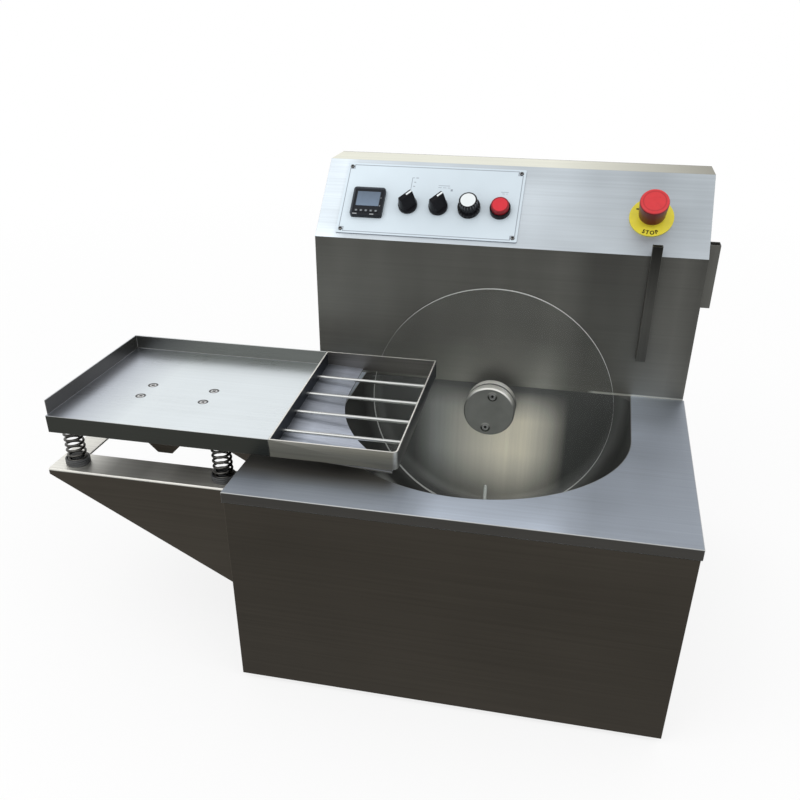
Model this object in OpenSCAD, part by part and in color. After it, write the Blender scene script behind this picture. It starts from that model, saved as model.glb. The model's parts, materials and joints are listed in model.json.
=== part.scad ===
// Table-top chocolate melting and moulding machine: a heated tank with a clear
// wheel, a sloped control panel and a vibrating table on four springs.
// Machine frame used below: x runs right from the cabinet's left face, y runs
// back from its front face, z runs up from its base. place() moves that frame
// so that the origin is at the middle of the whole machine's footprint.

/* [Cabinet] */
// Width of the cabinet
body_w = 560; // [520:5:620]
// Height of the deck above the cabinet's base
deck_h = 288; // [276:1:320]
// Depth of the deck, from the front face to the column's face
deck_depth = 408; // [390:1:440]
// Rise of the column's face above the deck
column_rise = 207.5; // [190:0.5:230]
// Depth of the sloped control panel, seen from above
panel_run = 99; // [92:1:115]
// Rise of the sloped control panel
panel_rise = 93; // [88:1:110]
// Depth of the column's flat top
top_depth = 66; // [56:1:90]
// Thickness of the folded sheet
sheet = 1.5; // [1:0.1:2]
// Height of the deck's turned-down edge
deck_skirt_h = 14.5; // [8:0.5:20]

/* [Feet] */
// Diameter of a rubber foot
foot_d = 36; // [24:1:44]
// Height of a rubber foot
foot_h = 8; // [5:0.5:15]
// Distance from the cabinet's edges to a foot's centre
foot_inset = 45; // [30:1:70]

/* [Tank] */
// Inner radius of the tank's trough and of its round front
tank_r = 204; // [196:1:212]
// Deck left in front of the tank's mouth
tank_front_margin = 51; // [44:1:60]
// Thickness of the tank's wall
tank_wall = 2; // [1.2:0.1:3]
// Width of the flange that hangs the tank under the deck
tank_flange_w = 14; // [8:1:20]
// Radius between the tank's trough and its back wall
tank_back_fillet = 30; // [20:1:45]
// Depth of the wheel's axis below the deck
wheel_drop = 20; // [10:1:26]
// Thickness of the heating mat
heater_t = 3; // [2:0.5:5]
// Length of the heating mat along the tank
heater_len = 100; // [60:1:110]
// Wrap of the heating mat round the tank
heater_wrap = 120; // [60:5:150]
// Diameter of the temperature probe
probe_d = 6; // [4:0.5:8]
// Height of the probe's tip above the tank's bottom
probe_h = 95; // [50:1:120]
// Distance from the heating mat's front edge to the probe
probe_along = 55; // [30:1:60]

/* [Wheel] */
// Radius of the clear wheel
wheel_r = 181; // [170:1:188]
// Thickness of the clear wheel
disc_t = 5; // [3:0.5:8]
// Gap between the wheel and the tank's back wall
wheel_back_gap = 43; // [34:1:60]
// Diameter of the hub
hub_d = 76; // [66:1:90]
// Thickness of the hub's front cap
hub_cap_t = 15; // [12:0.5:20]
// Thickness of the hub's rear flange
hub_flange_t = 14; // [10:0.5:18]
// Diameter of the drive shaft
shaft_d = 16; // [12:1:20]
// Diameter of the hub screws
hub_screw_d = 6; // [4:0.5:7]
// Distance between the two hub screws
hub_screw_span = 51; // [44:1:54]

/* [Drive] */
// Diameter of the bearing housing's flange
housing_d = 80; // [70:1:90]
// Length of the bearing housing
housing_len = 22; // [18:1:26]
// Outer diameter of the shaft seal
seal_d = 30; // [26:1:36]
// Width of the gearbox stand
stand_w = 130; // [110:1:160]
// Side of the gearbox
gearbox_side = 84; // [70:1:100]
// Length of the gearbox
gearbox_len = 48; // [40:1:52]
// Diameter of the drive motor
motor_d = 76; // [60:1:80]
// Length of the drive motor
motor_len = 60; // [50:1:66]

/* [Control panel] */
// Width of the faceplate
faceplate_w = 267; // [262:1:290]
// Height of the faceplate along the slope
faceplate_h = 120; // [112:1:122]
// Distance from the column's left edge to the faceplate
faceplate_x = 30; // [20:1:34]
// Distance from the bend up the slope to the faceplate
faceplate_s = 8; // [4:1:10]
// Thickness of the faceplate
faceplate_t = 1.5; // [1:0.1:2]
// Distance from the bend up the slope to the row of controls
control_s = 58.5; // [54:0.5:64]
// Distance from the column's left edge to the temperature controller
controller_x = 71.7; // [66:0.1:78]
// Distance from the column's left edge to the first knob
knob_x = 131.4; // [126:0.1:134]
// Spacing of the knobs and the button
control_pitch = 45.3; // [40:0.1:46]
// Side of the controller's bezel
controller_side = 48; // [44:1:52]
// Diameter of a selector knob
selector_d = 28; // [24:1:32]
// Diameter of the speed knob's skirt
speed_knob_d = 33; // [28:1:36]
// Diameter of the start button's bezel
button_bezel_d = 30; // [26:1:34]

/* [Emergency stop] */
// Distance from the column's right edge to the emergency stop
estop_inset = 81.5; // [70:0.5:120]
// Distance from the bend up the slope to the emergency stop
estop_s = 61; // [50:1:80]
// Diameter of the yellow plate
estop_plate_d = 61; // [54:1:70]
// Diameter of the red head
estop_head_d = 40; // [36:1:46]
// Height of the red head's top above the panel
estop_top = 38; // [34:1:44]

/* [Sleeves] */
// Width of the sleeve on the column's face
front_sleeve_w = 14; // [11:1:20]
// Depth of the sleeve on the column's face
front_sleeve_depth = 11; // [9:1:16]
// Length of the sleeve on the column's face
front_sleeve_len = 165; // [120:1:180]
// Rise of that sleeve's top above the bend
front_sleeve_over = 16; // [0:1:24]
// Distance from the column's right edge to that sleeve's middle
front_sleeve_inset = 70; // [40:1:100]
// Width of the sleeve on the column's right side
side_sleeve_w = 15; // [11:1:20]
// Depth of the sleeve on the column's right side
side_sleeve_depth = 20; // [12:1:30]
// Length of the sleeve on the column's right side
side_sleeve_len = 88; // [60:1:110]
// Rise of that sleeve's top above the bend
side_sleeve_over = 15; // [0:1:20]
// Thickness of a sleeve's wall
sleeve_wall = 1.5; // [1:0.1:2]

/* [Vibrating table] */
// Height of the tray's plate above the deck
table_gap = 40; // [36:1:52]
// Reach of the tray to the left of the cabinet
tray_reach = 273; // [255:1:280]
// Width of the tray
tray_w = 309; // [295:1:320]
// Distance from the cabinet's front to the tray's front edge
tray_front = 71; // [60:1:80]
// Depth of the tray
tray_d = 259; // [245:1:265]
// Height of the tray's left and back walls
tray_wall_h = 20; // [12:1:30]
// Height of the tray's turned-down front edge
tray_skirt_h = 24; // [16:1:26]
// Width of the drip grate
grate_w = 165; // [150:1:180]
// Height of the drip grate's walls
grate_h = 25; // [20:1:28]
// Rise of the drip grate from front to back
grate_lift = 20; // [10:1:24]
// Diameter of a grate rod
rod_d = 5; // [4:0.5:7]
// Spacing of the grate rods
rod_pitch = 52; // [48:1:60]
// Distance from the grate's front to its first rod
rod_front = 48; // [40:1:56]
// Reach of the drip plate past the tank's edge
drip_overhang = 15; // [8:1:20]

/* [Springs and bracket] */
// Reach of the bracket to the left of the cabinet
bracket_reach = 283; // [274:1:295]
// Distance from the cabinet's front to the bracket's front edge
bracket_front = 67; // [60:1:70]
// Depth of the bracket's top below the deck
bracket_drop = 37; // [34:1:50]
// Width of the bracket's front and rear rails
bracket_rail = 50; // [44:1:60]
// Width of the bracket's left rail
bracket_end_rail = 33; // [28:1:40]
// Thickness of the bracket's plates
bracket_t = 3; // [2:0.5:4]
// Height of the gussets at the cabinet's side
gusset_h = 165; // [120:1:200]
// Outer diameter of a spring
spring_d = 27; // [22:1:28]
// Diameter of the spring wire
wire_d = 3.5; // [2.5:0.1:4]
// Working turns of a spring
spring_turns = 6; // [5:1:7]
// Distance from the left spring's axis to the tray's left edge
spring_inset = 21; // [16.5:0.5:24]
// Distance between the left and right springs
spring_span_x = 213; // [200:1:218]

/* [Vibrator] */
// Distance from the tray's left edge to the vibrator's axis
vibrator_inset = 138; // [125:1:145]
// Distance from the tray's front edge to the vibrator's middle
vibrator_back = 107; // [95:1:130]
// Diameter of the vibrator's housing
vibrator_d = 50; // [40:1:52]
// Length of the vibrator's housing
vibrator_len = 58; // [50:1:60]
// Length of a vibrator end cap
vibrator_cap_len = 24; // [20:1:25]
// Spacing of the vibrator's screws across its axis
vibrator_screw_x = 92; // [84:1:96]
// Spacing of the vibrator's screws along its axis
vibrator_screw_y = 38; // [30:1:44]
// Diameter of the vibrator's screws
vibrator_screw_d = 5; // [4:0.5:6]
// Depth of the vibrator's guard below the tray
guard_drop = 62; // [60:0.5:66]
// Width of the guard at its bottom
guard_bottom_w = 21; // [16:1:30]
// Width of the guard at the tray
guard_top_w = 145; // [136:1:160]
// Length of the guard
guard_len = 116; // [112:1:130]

/* [Hidden] */
$fn = 64;

// Cuts run past a face by this much
overrun = 1;
// Radial clearance of a turning or sliding fit
run_clear = 0.05;
// Clearance of a fixed fit
fit_clear = 0.1;
// Clearance of a loose fit
free_clear = 0.3;

// Cabinet and column
skirt_gap = 0.5;
deck_lip = sheet + skirt_gap;
body_depth = deck_depth + panel_run + top_depth;
bend_z = deck_h + column_rise;
top_z = bend_z + panel_rise;
rim_z = deck_h - sheet;
panel_angle = atan2(panel_rise, panel_run);
bend_allow = sheet * (1 - sin(panel_angle)) / cos(panel_angle);
top_allow = sheet * (1 - cos(panel_angle)) / sin(panel_angle);

// Rear cover, its vents, screws and cable gland
cover_screw_d = 4;
cover_screw_head_d = 8;
cover_screw_head_h = 2.2;
cover_screw_len = 9;
cover_screw_inset = 12;
cover_screw_cols_share = [0, 0.5, 1];
cover_screw_rows_share = [0, 0.34, 0.67, 1];
vent_w = 70;
vent_h = 5;
vent_pitch = 14;
vent_count = 7;
vent_gap = 40;
vent_z = 360;
gland_d = 20;
gland_bore_d = 9;
gland_hex_d = 28;
gland_hex_t = 6;
gland_out = 19;
gland_in = 10;
gland_cap_d = 23;
gland_x = 80;
gland_z = 50;

// Tank and wheel
axis_x = body_w / 2;
axis_z = deck_h - wheel_drop;
round_y = tank_front_margin + tank_r;
tank_straight = deck_depth - round_y;
tank_back_outer = deck_depth + tank_wall;
tank_bottom_z = axis_z - tank_r;
heater_gap = 8;
heater_hole_gap = 4;
probe_side = 5;
probe_nut_d = 17;
probe_nut_h = 8;
probe_tail = 14;
disc_back = deck_depth - wheel_back_gap;
disc_front = disc_back - disc_t;
hub_front = disc_front - hub_cap_t;
hub_chamfer = 2;
hub_cap_floor = 6;
hub_screw_head_d = 10;
hub_screw_head_h = 4;
hub_screw_recess = 4;
hub_screw_hex_d = 4.6;
hub_screw_hex_depth = 2.5;
hub_screw_tilt = 9;

// Drive
shaft_r = shaft_d / 2;
seal_lip_w = 4;
seal_lip_d = seal_d + 2 * seal_lip_w;
seal_lip_t = 2;
seal_in = 5;
housing_t = 8;
housing_boss_d = 50;
housing_bolt_d = 6;
housing_bolt_share = 0.41;
stand_gap = 4;
stand_t = 4;
stand_foot = 44;
stand_over = 52;
stand_hole_d = 44;
stand_y = tank_back_outer + housing_len + stand_gap;
gearbox_y = stand_y + stand_t;
gearbox_grip = 36;
gearbox_spigot_d = 40;
gearbox_rib = 4;
motor_y = gearbox_y + gearbox_len;
motor_bell_share = 0.86;
motor_bell_len = 9;
board_w = 110;
board_d = 74;
board_t = 1.6;
board_post_d = 7;
board_post_h = 12;
board_post_inset = 7;
board_gap = 40;
sink_w = 40;
sink_h = 28;
sink_fin = 3;
sink_fin_pitch = 8;
coil_w = 34;
coil_h = 30;

// Control panel
faceplate_screw_d = 3;
faceplate_screw_head_d = 6;
faceplate_screw_head_h = 1.5;
faceplate_screw_len = 6;
faceplate_screw_inset = 6.5;
faceplate_corner_r = 2;
bezel_h = 7;
bezel_corner_r = 4;
case_w = 44.6;
case_depth = 66;
case_recess = 1;
screen_w_share = 0.75;
screen_h_share = 0.5;
screen_lift_share = 0.1;
screen_t = 1.2;
key_w = 5;
key_h = 3.6;
key_pitch_share = 0.155;
key_drop_share = 0.33;
key_proud = 0.7;
key_sunk = 1.5;
key_travel = 0.4;
key_count = 5;
bush_d = 9.5;
bush_out = 4;
bush_nut_d = 13;
bush_nut_t = 2;
bush_nut_gap = 0.6;
switch_side = 30;
switch_depth = 26;
stem_d = 6;
stem_in = 14;
stem_root = 2;
knob_lift = 0.6;
selector_base_h = 5;
selector_wing_h = 25;
selector_wing_share = 0.82;
selector_ridge_w = 6.5;
selector_ridge_share = 0.78;
selector_turn = -45;
speed_skirt_h = 6;
speed_grip_h = 20;
speed_grip_share = 0.86;
speed_top_share = 0.8;
speed_flutes = 16;
speed_flute_d = 3.2;
speed_cap_share = 0.72;
speed_cap_t = 1.6;
speed_cap_sunk = 0.8;
pot_d = 24;
pot_depth = 14;
button_h = 8;
button_rim = 2;
button_d = button_bezel_d - 2 * button_rim;
button_recess = 6;
button_top = 15;
button_stem_d = 14;
button_stem_in = 14;
button_travel = 3;
button_hole_d = 22;
button_round = 1.5;
contact_side = 28;
contact_depth = 34;

// Emergency stop
estop_x = body_w - estop_inset;
estop_plate_t = 2;
estop_hole_d = 22;
estop_collar_d = 29;
estop_collar_h = 12;
estop_stem_d = 15;
estop_stem_in = 16;
estop_neck_d = 10;
estop_neck_h = 7;
estop_head_low = 9;
estop_cup_d = 32;
estop_cup_h = 11;
estop_waist_share = 0.92;
estop_round = 3;
estop_dish = 0.8;

// Table, grate and bracket
tray_x0 = -tray_reach;
tray_x1 = tray_x0 + tray_w;
tray_top = deck_h + table_gap;
tray_under = tray_top - sheet;
tray_mid_y = tray_front + tray_d / 2;
tray_back = tray_front + tray_d;
wall_setback = 5;
grate_tilt = atan2(grate_lift, tray_d);
grate_run = tray_d / cos(grate_tilt);
grate_wall = 2;
grate_corner_r = 7;
rod_drop_share = 0.56;
rod_count = 4;
lip_start_share = 0.3;
lip_drop = 7;
lip_up = 8;
lip_x = lip_start_share * grate_w;
lip_end = grate_w - grate_corner_r;
drip_slope = atan2(lip_drop, lip_end - lip_x);
drip_up = 1;
bracket_top = deck_h - bracket_drop;
bracket_back = 2 * tray_mid_y - bracket_front;
bracket_side_rail = 14;
bracket_flange_h = 42;
gusset_tip_h = 6;

// Spring seats and springs
seat_d = 33;
seat_floor = 3;
seat_rim = 0.9;
seat_bead_r = 1.5;
seat_rim_h = 9;
seat_boss_d = 15;
seat_boss_h = 12;
spring_x0 = tray_x0 + spring_inset;
spring_y0 = bracket_front + bracket_rail / 2;
spring_y1 = 2 * tray_mid_y - spring_y0;
spring_z0 = bracket_top + seat_floor;
spring_len = tray_under - seat_floor - spring_z0;
coil_r = (spring_d - wire_d) / 2;
dead_turns = 1;
dead_gap = 0.9;
dead_pitch = wire_d + dead_gap;
bend_r = wire_d;
bend_steps = 3;
ring_sides = 6;
rings_per_turn = 8;

// Vibrator
vibrator_x = tray_x0 + vibrator_inset;
vibrator_y = tray_front + vibrator_back;
vibrator_foot_t = 6;
vibrator_foot_edge = 10;
vibrator_web_share = 0.7;
vibrator_sunk = 1;
vibrator_z = tray_under - vibrator_foot_t - vibrator_d / 2 + vibrator_sunk;
vibrator_shaft_d = 10;
vibrator_cap_wall = 2;
weight_t = 11;
weight_gap = 3;
weight_clear = 3;
guard_wall = 1.5;
screw_head_d = 10;
screw_head_h = 2.8;
screw_len = 14;

// Middle of the footprint
left_x = -max(bracket_reach, tray_reach);
right_x = body_w + max(deck_lip, side_sleeve_w);
front_y = -deck_lip;
back_y = body_depth + sheet + gland_out;
centre_x = (left_x + right_x) / 2;
centre_y = (front_y + back_y) / 2;

// Shared helpers

module place() {
    translate([-centre_x, -centre_y, foot_h]) children();
}

module block(low, high) {
    translate(low) cube(high - low);
}

// A wheel-axis piece: local z runs back along the axis from the given depth
module along_axis(y) {
    translate([axis_x, y, axis_z]) rotate([-90, 0, 0]) children();
}

// A control: local y runs up the slope and local z out of the panel
module on_panel(x, s) {
    translate([x, deck_depth + s * cos(panel_angle), bend_z + s * sin(panel_angle)])
        rotate([panel_angle, 0, 0]) children();
}

// A sheet with a side-view outline of [y, z] points
module side_sheet(x, width, outline) {
    translate([x, 0, 0]) rotate([90, 0, 90]) linear_extrude(width) polygon(outline);
}

// A sheet with a front-view outline of [x, z] points
module front_sheet(y, depth, outline) {
    translate([0, y + depth, 0]) rotate([90, 0, 0]) linear_extrude(depth) polygon(outline);
}

module rod(d, z0, z1) {
    translate([0, 0, z0]) cylinder(d = d, h = z1 - z0);
}

module ring(d_out, d_in, z0, z1) {
    difference() {
        rod(d_out, z0, z1);
        rod(d_in, z0 - overrun, z1 + overrun);
    }
}

module rounded_plate(w, h, corner) {
    square([w - 2 * corner, h], center = true);
    square([w, h - 2 * corner], center = true);
    for (sx = [-1, 1], sy = [-1, 1])
        translate([sx * (w / 2 - corner), sy * (h / 2 - corner)]) circle(corner);
}

// Cabinet

function side_outline() = [
    [sheet, 0], [sheet, rim_z], [deck_depth + sheet, rim_z],
    [deck_depth + sheet, bend_z - bend_allow],
    [deck_depth + panel_run + top_allow, top_z - sheet],
    [body_depth, top_z - sheet], [body_depth, 0]
];

function column_outline() = [
    [deck_depth, rim_z], [deck_depth, bend_z], [deck_depth + panel_run, top_z],
    [body_depth, top_z], [body_depth, top_z - sheet],
    [deck_depth + panel_run + top_allow, top_z - sheet],
    [deck_depth + sheet, bend_z - bend_allow], [deck_depth + sheet, rim_z]
];

module base_plate() {
    color("dimgray") place()
        block([sheet, sheet, 0], [body_w - sheet, body_depth, sheet]);
}

module feet() {
    color("black") place()
        for (x = [foot_inset, body_w - foot_inset], y = [foot_inset, body_depth - foot_inset])
            translate([x, y, 0]) rod(foot_d, -foot_h, 0);
}

module front_panel() {
    color("gray") place()
        block([0, 0, 0], [body_w, sheet, rim_z]);
}

module side_panel_left() {
    color("gray") place() side_sheet(0, sheet, side_outline());
}

module side_panel_right() {
    color("gray") place() side_sheet(body_w - sheet, sheet, side_outline());
}

// The deck's mouth is a round front with straight sides that run to the column
module deck_plate() {
    color("lightsteelblue") place() difference() {
        union() {
            block([-deck_lip, -deck_lip, rim_z], [body_w + deck_lip, deck_depth, deck_h]);
            block([-deck_lip, -deck_lip, deck_h - deck_skirt_h],
                  [body_w + deck_lip, sheet - deck_lip, deck_h]);
            for (x = [-deck_lip, body_w + deck_lip - sheet])
                block([x, -deck_lip, deck_h - deck_skirt_h], [x + sheet, deck_depth, deck_h]);
        }
        translate([axis_x, round_y, rim_z - overrun]) linear_extrude(sheet + 2 * overrun) {
            circle(tank_r);
            translate([-tank_r, 0]) square([2 * tank_r, tank_straight + overrun]);
        }
    }
}

module panel_holes() {
    on_panel(controller_x, control_s) controller_hole();
    for (i = [0, 1, 2]) on_panel(knob_x + i * control_pitch, control_s) panel_hole(bush_d);
    on_panel(knob_x + 3 * control_pitch, control_s) panel_hole(button_hole_d);
    at_faceplate_screws() panel_hole(faceplate_screw_d);
}

module panel_hole(d) {
    rod(d + 2 * fit_clear, -sheet - overrun, faceplate_t + overrun);
}

module controller_hole() {
    side = case_w + 2 * fit_clear;
    translate([-side / 2, -side / 2, -sheet - overrun])
        cube([side, side, sheet + faceplate_t + 2 * overrun]);
}

module column_front() {
    color("silver") place() difference() {
        side_sheet(0, body_w, column_outline());
        panel_holes();
        on_panel(estop_x, estop_s) panel_hole(estop_hole_d);
    }
}

module slot(w, h) {
    square([w - h, h], center = true);
    for (sx = [-1, 1]) translate([sx * (w - h) / 2, 0]) circle(h / 2);
}

module at_cover_screws() {
    for (u = cover_screw_cols_share, v = cover_screw_rows_share)
        if (u != cover_screw_cols_share[1] || v == 0 || v == 1)
            translate([cover_screw_inset + u * (body_w - 2 * cover_screw_inset), body_depth + sheet,
                       cover_screw_inset + v * (top_z - 2 * cover_screw_inset)])
                rotate([-90, 0, 0]) children();
}

module rear_cover() {
    color("gray") place() difference() {
        block([0, body_depth, 0], [body_w, body_depth + sheet, top_z]);
        at_cover_screws() rod(cover_screw_d + 2 * fit_clear, -sheet - overrun, overrun);
        for (i = [0 : vent_count - 1], side = [-1, 1])
            translate([axis_x + side * (vent_w + vent_gap) / 2, body_depth + sheet + overrun,
                       vent_z + i * vent_pitch])
                rotate([90, 0, 0]) linear_extrude(sheet + 2 * overrun) slot(vent_w, vent_h);
        at_gland() rod(gland_d + 2 * fit_clear, -sheet - overrun, overrun);
    }
}

module cover_screws() {
    color("silver") place() at_cover_screws() {
        rod(cover_screw_head_d, 0, cover_screw_head_h);
        rod(cover_screw_d, -cover_screw_len, 0);
    }
}

module at_gland() {
    translate([gland_x, body_depth + sheet, gland_z]) rotate([-90, 0, 0]) children();
}

module cable_gland() {
    color("black") place() at_gland() difference() {
        union() {
            cylinder(d = gland_hex_d, h = gland_hex_t, $fn = 6);
            rod(gland_cap_d, 0, gland_out);
            rod(gland_d, -sheet - gland_in, 0);
            translate([0, 0, -sheet - gland_hex_t]) cylinder(d = gland_hex_d, h = gland_hex_t, $fn = 6);
        }
        rod(gland_bore_d, -sheet - gland_in - overrun, gland_out + overrun);
    }
}

// Tank: a trough turned about the wheel's axis, with a ball-shaped front

module tank_profile(grow) {
    intersection() {
        circle(tank_r + grow);
        translate([0, -tank_r - grow]) square(tank_r + grow);
    }
    square([tank_r + grow, tank_straight - tank_back_fillet]);
    square([tank_r - tank_back_fillet, tank_straight + grow]);
    translate([tank_r - tank_back_fillet, tank_straight - tank_back_fillet])
        circle(tank_back_fillet + grow);
}

module tank_outline(grow) {
    tank_profile(grow);
    mirror([1, 0]) tank_profile(grow);
}

module tank_form(grow, top) {
    along_axis(round_y) rotate_extrude(angle = 180) tank_profile(grow);
    translate([axis_x, round_y, axis_z]) linear_extrude(top - axis_z) tank_outline(grow);
}

module at_probe() {
    translate([axis_x + probe_side, round_y + heater_gap + probe_along, tank_bottom_z]) children();
}

module tank() {
    color("silver") place() difference() {
        union() {
            tank_form(tank_wall, rim_z);
            translate([axis_x, round_y, rim_z - tank_wall])
                linear_extrude(tank_wall) tank_outline(tank_flange_w);
        }
        tank_form(0, rim_z + overrun);
        along_axis(deck_depth) rod(seal_d + 2 * fit_clear, -overrun, tank_wall + overrun);
        block([axis_x - housing_d / 2 - free_clear, tank_back_outer, rim_z - tank_wall - overrun],
              [axis_x + housing_d / 2 + free_clear, tank_back_outer + tank_flange_w, rim_z + overrun]);
        at_probe() rod(probe_d + 2 * fit_clear, -tank_wall - overrun, tank_wall + overrun);
    }
}

module heater_mat() {
    color("orangered") place() difference() {
        along_axis(round_y + heater_gap) rotate([0, 0, 90 - heater_wrap / 2])
            rotate_extrude(angle = heater_wrap)
                translate([tank_r + tank_wall + fit_clear, 0]) square([heater_t, heater_len]);
        at_probe() rod(probe_nut_d + 2 * heater_hole_gap,
                       -tank_wall - heater_t - 2 * overrun, overrun);
    }
}

module temperature_probe() {
    nut_top = -tank_wall - fit_clear;
    color("silver") place() at_probe() {
        rod(probe_d, nut_top - probe_nut_h - probe_tail, probe_h - probe_d / 2);
        translate([0, 0, probe_h - probe_d / 2]) sphere(d = probe_d);
        translate([0, 0, nut_top - probe_nut_h]) cylinder(d = probe_nut_d, h = probe_nut_h, $fn = 6);
    }
}

// Drive

module shaft_seal() {
    color("black") place() along_axis(deck_depth)
        difference() {
            union() {
                rod(seal_lip_d, -seal_lip_t, 0);
                rod(seal_d, -seal_lip_t, tank_wall + seal_in - fit_clear);
            }
            rod(shaft_d + 2 * run_clear, -seal_lip_t - overrun, tank_wall + seal_in + overrun);
        }
}

module bearing_housing() {
    color("dimgray") place() along_axis(tank_back_outer) difference() {
        union() {
            rod(housing_d, 0, housing_t);
            rod(housing_boss_d, 0, housing_len);
        }
        rod(shaft_d + 2 * run_clear, -overrun, housing_len + overrun);
        rod(seal_d + 2 * fit_clear, -overrun, seal_in);
        for (a = [45 : 90 : 315]) rotate(a) translate([housing_bolt_share * housing_d, 0])
            rod(housing_bolt_d, -overrun, housing_t + overrun);
    }
}

module gearbox_stand() {
    color("gray") place() difference() {
        union() {
            block([axis_x - stand_w / 2, stand_y, sheet],
                  [axis_x + stand_w / 2, stand_y + stand_t, axis_z + stand_over]);
            block([axis_x - stand_w / 2, stand_y, sheet],
                  [axis_x + stand_w / 2, stand_y + stand_foot, sheet + stand_t]);
        }
        along_axis(stand_y) rod(stand_hole_d, -overrun, stand_t + overrun);
    }
}

module gearbox() {
    half = gearbox_side / 2;
    color("dimgray") place() along_axis(gearbox_y) difference() {
        union() {
            translate([-half, -half, 0]) cube([gearbox_side, gearbox_side, gearbox_len]);
            rod(gearbox_spigot_d, -stand_t, gearbox_len);
            for (sx = [-1, 1]) translate([sx * half, 0, gearbox_len / 2])
                cube([2 * gearbox_rib, gearbox_side, gearbox_rib], center = true);
        }
        rod(shaft_d + 2 * run_clear, -stand_t - overrun, gearbox_grip);
    }
}

module drive_motor() {
    r = motor_d / 2;
    bell_r = motor_bell_share * r;
    color("dimgray") place() along_axis(motor_y) rotate_extrude() polygon([
        [0, 0], [bell_r, 0], [bell_r, motor_bell_len], [r, motor_bell_len],
        [r, motor_len - motor_bell_len], [bell_r, motor_len - motor_bell_len],
        [bell_r, motor_len], [0, motor_len]
    ]);
}

// Speed control board on four posts, with a finned heat sink and a choke
module speed_drive() {
    top = board_post_h + board_t;
    color("darkgreen") place()
        translate([body_w - board_gap - board_w, stand_y, sheet]) {
            for (x = [board_post_inset, board_w - board_post_inset],
                 y = [board_post_inset, board_d - board_post_inset])
                translate([x, y, 0]) rod(board_post_d, 0, board_post_h);
            translate([0, 0, board_post_h]) cube([board_w, board_d, board_t]);
            translate([board_post_inset, board_post_inset, top]) cube([sink_w, sink_w, sink_fin]);
            for (x = [0 : sink_fin_pitch : sink_w - sink_fin])
                translate([board_post_inset + x, board_post_inset, top])
                    cube([sink_fin, sink_w, sink_h]);
            translate([board_w - board_post_inset - coil_w, board_post_inset, top])
                cube([coil_w, coil_w, coil_h]);
        }
}

// Wheel

module at_hub_screws() {
    rotate(hub_screw_tilt) for (sy = [-1, 1]) translate([0, sy * hub_screw_span / 2, 0]) children();
}

module hub_screw_hole(z0, z1) {
    at_hub_screws() rod(hub_screw_d + 2 * fit_clear, z0 - overrun, z1 + overrun);
}

module wheel_disc() {
    color([0.85, 0.9, 0.92, 0.35]) place() along_axis(disc_front) difference() {
        rod(2 * wheel_r, 0, disc_t);
        rod(shaft_d + 2 * fit_clear, -overrun, disc_t + overrun);
        hub_screw_hole(0, disc_t);
    }
}

module hub_cap() {
    r = hub_d / 2;
    color("silver") place() along_axis(hub_front) difference() {
        rotate_extrude() polygon([
            [0, 0], [r - hub_chamfer, 0], [r, hub_chamfer], [r, hub_cap_t], [0, hub_cap_t]
        ]);
        rod(shaft_d + 2 * fit_clear, hub_cap_floor, hub_cap_t + overrun);
        hub_screw_hole(0, hub_cap_t);
        at_hub_screws() rod(hub_screw_head_d + 2 * free_clear, -overrun, hub_screw_recess);
    }
}

module hub_flange() {
    r = hub_d / 2;
    color("silver") place() along_axis(disc_back) difference() {
        rotate_extrude() polygon([
            [0, 0], [r, 0], [r, hub_flange_t - hub_chamfer],
            [r - hub_chamfer, hub_flange_t], [0, hub_flange_t]
        ]);
        rod(shaft_d + 2 * fit_clear, -overrun, hub_flange_t + overrun);
        hub_screw_hole(0, hub_flange_t);
    }
}

module hub_screws() {
    end = hub_cap_t + disc_t + hub_flange_t;
    color("dimgray") place() along_axis(hub_front) at_hub_screws() difference() {
        union() {
            rod(hub_screw_head_d, hub_screw_recess - hub_screw_head_h, hub_screw_recess);
            rod(hub_screw_d, hub_screw_recess, end);
        }
        translate([0, 0, hub_screw_recess - hub_screw_head_h - overrun])
            cylinder(d = hub_screw_hex_d, h = hub_screw_hex_depth + overrun, $fn = 6);
    }
}

module drive_shaft() {
    start = hub_front + hub_cap_floor + fit_clear;
    end = gearbox_y + gearbox_grip - free_clear;
    color("silver") place() along_axis(start) rod(shaft_d, 0, end - start);
}

// Control panel

module at_faceplate_screws() {
    for (x = [faceplate_screw_inset, faceplate_w - faceplate_screw_inset],
         s = [faceplate_screw_inset, faceplate_h - faceplate_screw_inset])
        on_panel(faceplate_x + x, faceplate_s + s) children();
}

module faceplate() {
    color("white") place() difference() {
        on_panel(faceplate_x + faceplate_w / 2, faceplate_s + faceplate_h / 2)
            linear_extrude(faceplate_t) rounded_plate(faceplate_w, faceplate_h, faceplate_corner_r);
        panel_holes();
    }
}

module faceplate_screws() {
    color("dimgray") place() at_faceplate_screws() {
        rod(faceplate_screw_head_d, faceplate_t, faceplate_t + faceplate_screw_head_h);
        rod(faceplate_screw_d, faceplate_t - faceplate_screw_len, faceplate_t);
    }
}

module at_key(i) {
    translate([(i - (key_count - 1) / 2) * key_pitch_share * controller_side,
               -key_drop_share * controller_side, faceplate_t + bezel_h - case_recess]) children();
}

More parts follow.
